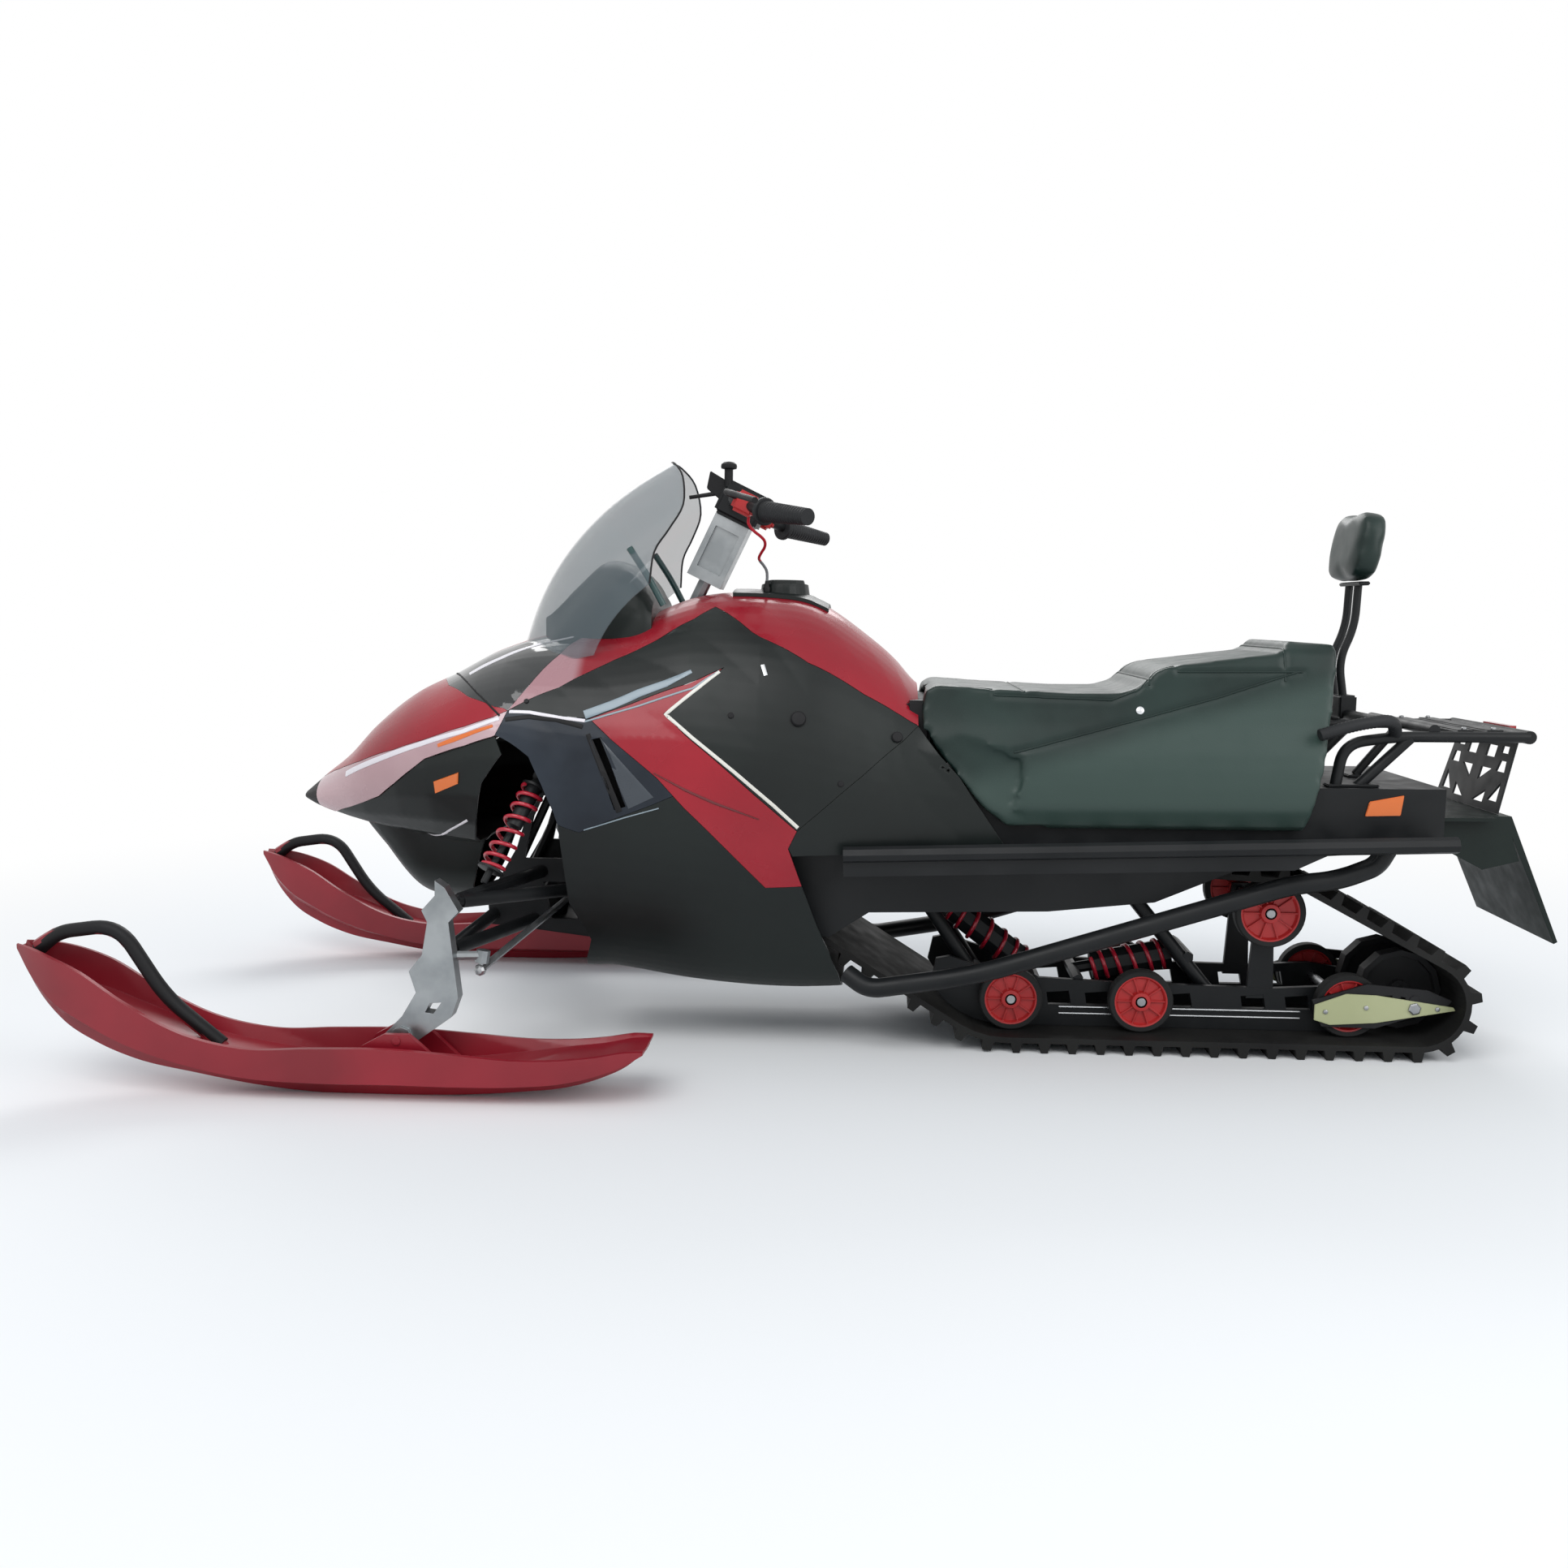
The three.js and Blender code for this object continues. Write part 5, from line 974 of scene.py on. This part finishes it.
for name, part, slot, look, stands_for in (
    ("bar_shape", merge([bar, bridge, *clamps]), "grip_black", "frame_black", ("handlebar",)),
    ("bar_grips", both(hand), "grip_black", None, ()),
    ("bar_housings", both(housing), "wheel_red", None, ()),
    ("bar_levers", both(lever), "grip_black", "deep_black", ()),
    ("bar_switches", both(merge(switches)), "wheel_red", None, ()),
    ("stop_button", mushroom, "grip_black", "deep_black", ()),
    ("brake_lever", merge(brake), "grip_black", "deep_black", ()),
):
    mesh_piece(name, on_post(part), slot, "steering", look, stands_for)

# ---- wheels and springs

WHEEL_Y, WHEEL_WIDE, AXLE, WHEEL_RIBS = 128, 26, 10, 10
WHEEL_EASE = 0.1  # how much smaller a wheel is than its CAD part
# node, x, z, radius
WHEELS = [("front_wheels", -416, 98.3, 66), ("middle_wheels", -683, 98.3, 66), ("rear_wheels", -1100, 98.3, 66),
          ("carrier_wheels", -936, 289, 71)]


def wheel(x, z, radius):
    """Disc, tyre and hub of one wheel on the left side."""
    at, axis = (x, 0, z), (0, 1, 0)
    near, far = WHEEL_Y - WHEEL_WIDE / 2, WHEEL_Y + WHEEL_WIDE / 2
    rim = radius - 11
    rows = [(20, near - 4), (20, WHEEL_Y - 4), (rim - 7, WHEEL_Y - 4), (rim - 4, near + 2), (rim, near + 1)]
    rows += [(rim, far - 1), (rim - 4, far - 2), (rim - 8, WHEEL_Y + 4), (22, WHEEL_Y + 4)]
    rows += [(19, far + 1), (13, far + 2)]
    disc = [lathe(rows, at, axis)]
    for k in range(WHEEL_RIBS):
        turn = Matrix.Rotation(2 * math.pi * k / WHEEL_RIBS, 3, "Y")
        low, high = (x + 16, WHEEL_Y - 9, z - 1.8), (x + rim - 4, WHEEL_Y + 9, z + 1.8)
        disc.append(brick(low, high, 0.8, turn, (x, WHEEL_Y, z)))
    rows = [(rim - 1, near + 1), (radius - 3, near), (radius, near + 3)]
    rows += [(radius, far - 3), (radius - 3, far), (rim - 1, far - 1)]
    tyre = lathe(rows, at, axis, ring=True)
    rows = [(AXLE, 0), (AXLE, far), (12, far), (12, far + 2), (9, far + 2), (8, far + 3), (4, far + 3)]
    cap = lathe(rows, at, axis, 24)
    return merge(disc), tyre, cap


for name, x, z, radius in WHEELS:
    disc, tyre, cap = wheel(x, z, radius - WHEEL_EASE)
    mesh_piece(name + "_discs", both(disc), "wheel_red", stands_for=(name,))
    mesh_piece(name + "_tyres", both(tyre), "wheel_black", look="tyre")
    mesh_piece(name + "_caps", both(cap), "steel")


def coil(bottom, top, radius, wire, turns):
    """A helical spring between two points, with closer turns at its ends."""
    bottom, top = Vector(bottom), Vector(top)
    axis = (top - bottom).normalized()
    first = axis.orthogonal().normalized()
    second = axis.cross(first)
    length, line, count = (top - bottom).length, [], int(turns * 22)
    for i in range(count + 1):
        t = i / count
        along = t - 0.035 * math.sin(2 * math.pi * t)
        line.append(bottom + axis * length * along + off_axis(first, second, 2 * math.pi * turns * t, radius))
    return sweep(line, wire, 10)


def damper(bottom, top, body, rod):
    """A damper's body and rod: the body is at the top."""
    bottom, top = Vector(bottom), Vector(top)
    length = (top - bottom).length
    rows = [(6, 0), (rod, 4), (rod, length * 0.5), (body, length * 0.52)]
    rows += [(body, length - 22), (body - 4, length - 14), (6, length - 4)]
    return lathe(rows, bottom, top - bottom, 28)


SHOCK_TOP, SHOCK_FOOT = Vector((542, 240, 570)), Vector((631.3, 359.5, 370))
SHOCK_LENGTH = (SHOCK_FOOT - SHOCK_TOP).length
for side, sign in SIDES:
    ends = [SHOCK_TOP, SHOCK_FOOT]
    top, foot = ends if sign > 0 else flipped(ends)
    on = (foot - top).normalized()
    spring = coil(top + on * SHOCK_LENGTH * 0.85, top + on * SHOCK_LENGTH * 0.13, 23, 4, 7)
    rows = [(12, 0), (27, 1), (27, 6), (12, 7)]
    seats = [lathe(rows, top + on * SHOCK_LENGTH * share, on, 28) for share in (0.095, 0.85)]
    eye = lathe([(12, -11), (14, -10), (14, 10), (12, 11)], top, (0, 1, 0), 24)
    tube = damper(foot - on * 4, top, 16, 7)
    mesh_piece(f"shock_{side}_spring", spring, "spring_red", stands_for=(f"shock_{side}",))
    mesh_piece(f"shock_{side}_damper", merge([tube, *seats, eye]), "frame_black")

skid_coils = [coil((-445, 0, 148), (-295, 0, 265), 31, 4.5, 6), coil((-765, 0, 170), (-600, 0, 138), 31, 4.5, 6)]
mesh_piece("skid_springs", merge(skid_coils), "spring_red")

# tensioner plates and reflectors
TENSIONER = [(-1028, 72), (-1028, 104), (-1090, 128), (-1150, 126),
             (-1302, 104), (-1306, 97), (-1150, 68), (-1060, 62)]
mesh_piece("tensioner_plates", both(slab(TENSIONER, 150.4, 153, 0.8)), "bare_aluminium", look="olive")
bolt = lathe([(13, 152), (13, 156), (10, 158), (4, 158)], (-1225, 0, 100), (0, 1, 0), 6)
SCREWS = [(-1050, 90), (-1130, 100), (-1270, 100)]
screws = [lathe([(5, 152), (5, 155), (3, 156)], (x, 0, z), (0, 1, 0), 6) for x, z in SCREWS]
mesh_piece("tensioner_bolts", both(merge([bolt, *screws])), "steel")
REFLECTOR = [(-1095, 530), (-1160, 543), (-1155, 503), (-1088, 501)]
mesh_piece("side_reflectors", both(slab(REFLECTOR, 202.5, 207, 1.2)), "tail_lens", look="amber")

silver_edges = [sweep([(-520, 103, z), (-1015, 103, z)], 2.2, 8) for z in (60, 74)]
mesh_piece("rail_edges", both(merge(silver_edges)), "steel", look="silver_dot")
VENT_BACK = [(330, 495), (330, 600), (480, 690), (520, 600), (470, 480)]
mesh_piece("vent_backing", both(slab(VENT_BACK, 236, 242)), "black_plastic", look="deep_black")
bulkhead = brick((-240, -182, 556), (-192, 182, 722), 6)
mesh_piece("tank_bulkhead", bulkhead, "black_plastic", look="deep_black")
rim = [Vector((x1, y, z1)) for y, _, _, x1, z1 in SHIELD_RIBS]
mesh_piece("shield_rim", sweep(smooth_line(rim), 2.0, 10), "black_plastic", look="deep_black")
strut = sweep(bent([(372, 150, 1028), (334, 150, 970), (304, 146, 912)], 40), 7)
mesh_piece("shield_struts", both(strut), "black_plastic", look="teal")

# ---- seat and back pad


def soft_copy(name, voxel, ease):
    """A copy of a CAD solid in even quads, in metres, with its edges eased in some rounds."""
    source = nodes[name]
    mesh = source.data.copy()
    mesh.transform(source.matrix_world)
    obj = add_object(name + "_soft", mesh)
    set_up(obj.modifiers.new("remesh", "REMESH"), mode="VOXEL", voxel_size=voxel)
    set_up(obj.modifiers.new("round", "SMOOTH"), factor=0.5, iterations=ease)
    return obj


def settle(obj):
    """Turns the modified shape of an object into its own mesh."""
    shape = bpy.data.meshes.new_from_object(obj.evaluated_get(bpy.context.evaluated_depsgraph_get()))
    obj.modifiers.clear()
    obj.data = shape
    return obj


CLOTH_STIFFNESS, CLOTH_FRAMES = 30, 20


def inflated(obj, pressure, most):
    """Cloth blown up a little from inside, with a limit to how far any point goes."""
    start = np.array([v.co for v in obj.data.vertices])
    cloth = obj.modifiers.new("cloth", "CLOTH").settings
    set_up(cloth, use_pressure=True, uniform_pressure_force=pressure)
    set_up(cloth, tension_stiffness=CLOTH_STIFFNESS, compression_stiffness=CLOTH_STIFFNESS)
    cloth.effector_weights.gravity = 0
    for f in range(1, CLOTH_FRAMES + 1):
        bpy.context.scene.frame_set(f)
    settle(obj)
    bpy.context.scene.frame_set(1)
    move = np.array([v.co for v in obj.data.vertices]) - start
    far = np.maximum(np.linalg.norm(move, axis=1, keepdims=True), 1e-9)
    obj.data.vertices.foreach_set("co", (start + move * np.minimum(1, most / far)).ravel())


def subdivided(obj, ease=0):
    if ease:
        obj.modifiers.new("calm", "SMOOTH").iterations = ease
    set_up(obj.modifiers.new("more", "SUBSURF"), levels=1, render_levels=1)
    return settle(obj)


def pressed(obj, lines, depth, wide):
    """Grooves along lines of points: depth and half width in millimetres."""
    tracks = np.array([tuple(p * MM) for line in lines for p in stepped(line, 3.0)])
    verts = np.array([v.co for v in obj.data.vertices])
    normals = np.array([v.normal for v in obj.data.vertices])
    near = np.full(len(verts), 1.0)
    for chunk in np.array_split(np.arange(len(verts)), 40):
        near[chunk] = np.linalg.norm(verts[chunk, None] - tracks[None], axis=2).min(axis=1)
    sink = depth * MM * np.exp(-((near / (wide * MM)) ** 2))
    obj.data.vertices.foreach_set("co", (verts - normals * sink[:, None]).ravel())
    obj.data.update()


# seams of the seat's side
BAND = [(-214, 123, 728), (-405, 190, 733), (-595, 192, 726), (-642, 188, 746),
        (-678, 163, 777), (-876, 184, 782), (-962, 184, 782)]
CREASE = [(-404, 223, 623), (-642, 200, 687), (-799, 191, 731), (-954, 184, 782)]
# the skirt of the cushion in front of its side, down behind the knee panels, in x and z
SKIRT = [(-226, 700), (-470, 700), (-470, 480), (-396, 474), (-342, 514), (-288, 583), (-248, 632)]
# z and half width of the cushion's side
SEAT_SIDE = np.array([(470, 224), (500, 231), (540, 233), (580, 228), (600, 225),
                      (620, 220), (640, 213), (660, 206), (700, 194)])
SKIRT_THICK = 24
CROSS_SEAMS_X = (-425, -668, -930)
SEAM_DEPTH, SEAM_HALF_WIDTH, PIPING = 2.6, 7.0, 2.2
SEAT_VOXEL, SEAT_EASE = 0.0075, 3
PAD_VOXEL, PAD_EASE, PAD_PRESSURE, PAD_MOST = 0.0055, 14, 4.0, 0.006
verts, faces = slab(SKIRT, 200, 230, 3)
for v in verts:
    v.y = np.interp(v.z, *SEAT_SIDE.T) - (0 if v.y > 215 else SKIRT_THICK)
skirt = mesh_of("skirt", both((verts, faces)))
seat = soft_copy("seat", SEAT_VOXEL, SEAT_EASE)
bm = bmesh.new()
bm.from_mesh(seat.data)
bm.from_mesh(skirt)
bm.to_mesh(seat.data)
bm.free()
settle(seat)
seat = subdivided(seat)
skin_tree = tree_of([seat])
side_seams = [[skin_tree.find_nearest(p)[0] for p in stepped(line, 6.0)] for line in (BAND, CREASE)]
across = [[Vector((x, y, 900)) for y in range(-190, 191, 8)] for x in CROSS_SEAMS_X]
down = Vector((0, 0, -1))
cross_seams = [[skin_tree.ray_cast(p, down)[0] or p for p in line] for line in across]
seams = side_seams + [flipped(line) for line in side_seams] + cross_seams
pressed(seat, seams, SEAM_DEPTH, SEAM_HALF_WIDTH)
seat.data.shade_smooth()
finish_piece(seat, "seat_vinyl", "chassis", "seat_side_sheen", ("seat",))
skin_tree = tree_of([seat])
piping = [sweep([skin_tree.find_nearest(p)[0] for p in line], PIPING, 8) for line in seams]
mesh_piece("seat_piping", merge(piping), "seat_vinyl", sharp=60)
snap_at = skin_tree.find_nearest(Vector((-650, 198, 706)))[0]
snap = lathe([(8, -2), (8, 1.5), (6, 3), (2, 3.4)], snap_at, (0, 0.95, 0.3), 24)
mesh_piece("seat_snaps", both(snap), "steel", look="silver_dot")

pad = settle(soft_copy("backrest_pad", PAD_VOXEL, PAD_EASE))
inflated(pad, PAD_PRESSURE, PAD_MOST)
pad = subdivided(pad, 20)
pad.data.shade_smooth()
finish_piece(pad, "seat_vinyl", "chassis", None, ("backrest_pad",))

# ---- stop cord

CORD = [
    (101, 46, 936), (101, 47, 958), (100, 49, 972), (101, 54, 985), (107, 63, 996), (112, 76, 1003), (113, 92, 1008),
    (110, 108, 1013), (104, 124, 1020), (98, 137, 1027), (95, 150, 1034), (96, 162, 1041), (102, 173, 1048),
    (111, 182, 1055), (120, 188, 1064), (125, 190, 1074), (124, 190, 1086),
]
CORD_RADIUS = 3.0
CORD_FOOT = 942  # z of the plug, from which the cord shows
CORD_TURN = 1003  # z under which the cord is grey

route = [p for p in smooth_line(CORD) if p.z > CORD_FOOT]
mesh = mesh_of("stop_cord_line", sweep(route, CORD_RADIUS, 14), 60)
tether = add_object("stop_cord_line", mesh)
paint_with(tether, "tether_red", "cord_grey")
for face in mesh.polygons:
    face.material_index = 1 if face.center.z < CORD_TURN * MM else 0
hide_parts("stop_cord")
plug_part = lathe([(8, -1), (8, 7), (6, 10), (4, 18), (3.2, 22)], (101, 46.5, CORD_FOOT), (0, 0.05, 1), 24)
plug = mesh_piece("stop_cord_plug", plug_part, "tether_red", look="deep_black")
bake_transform(tether)
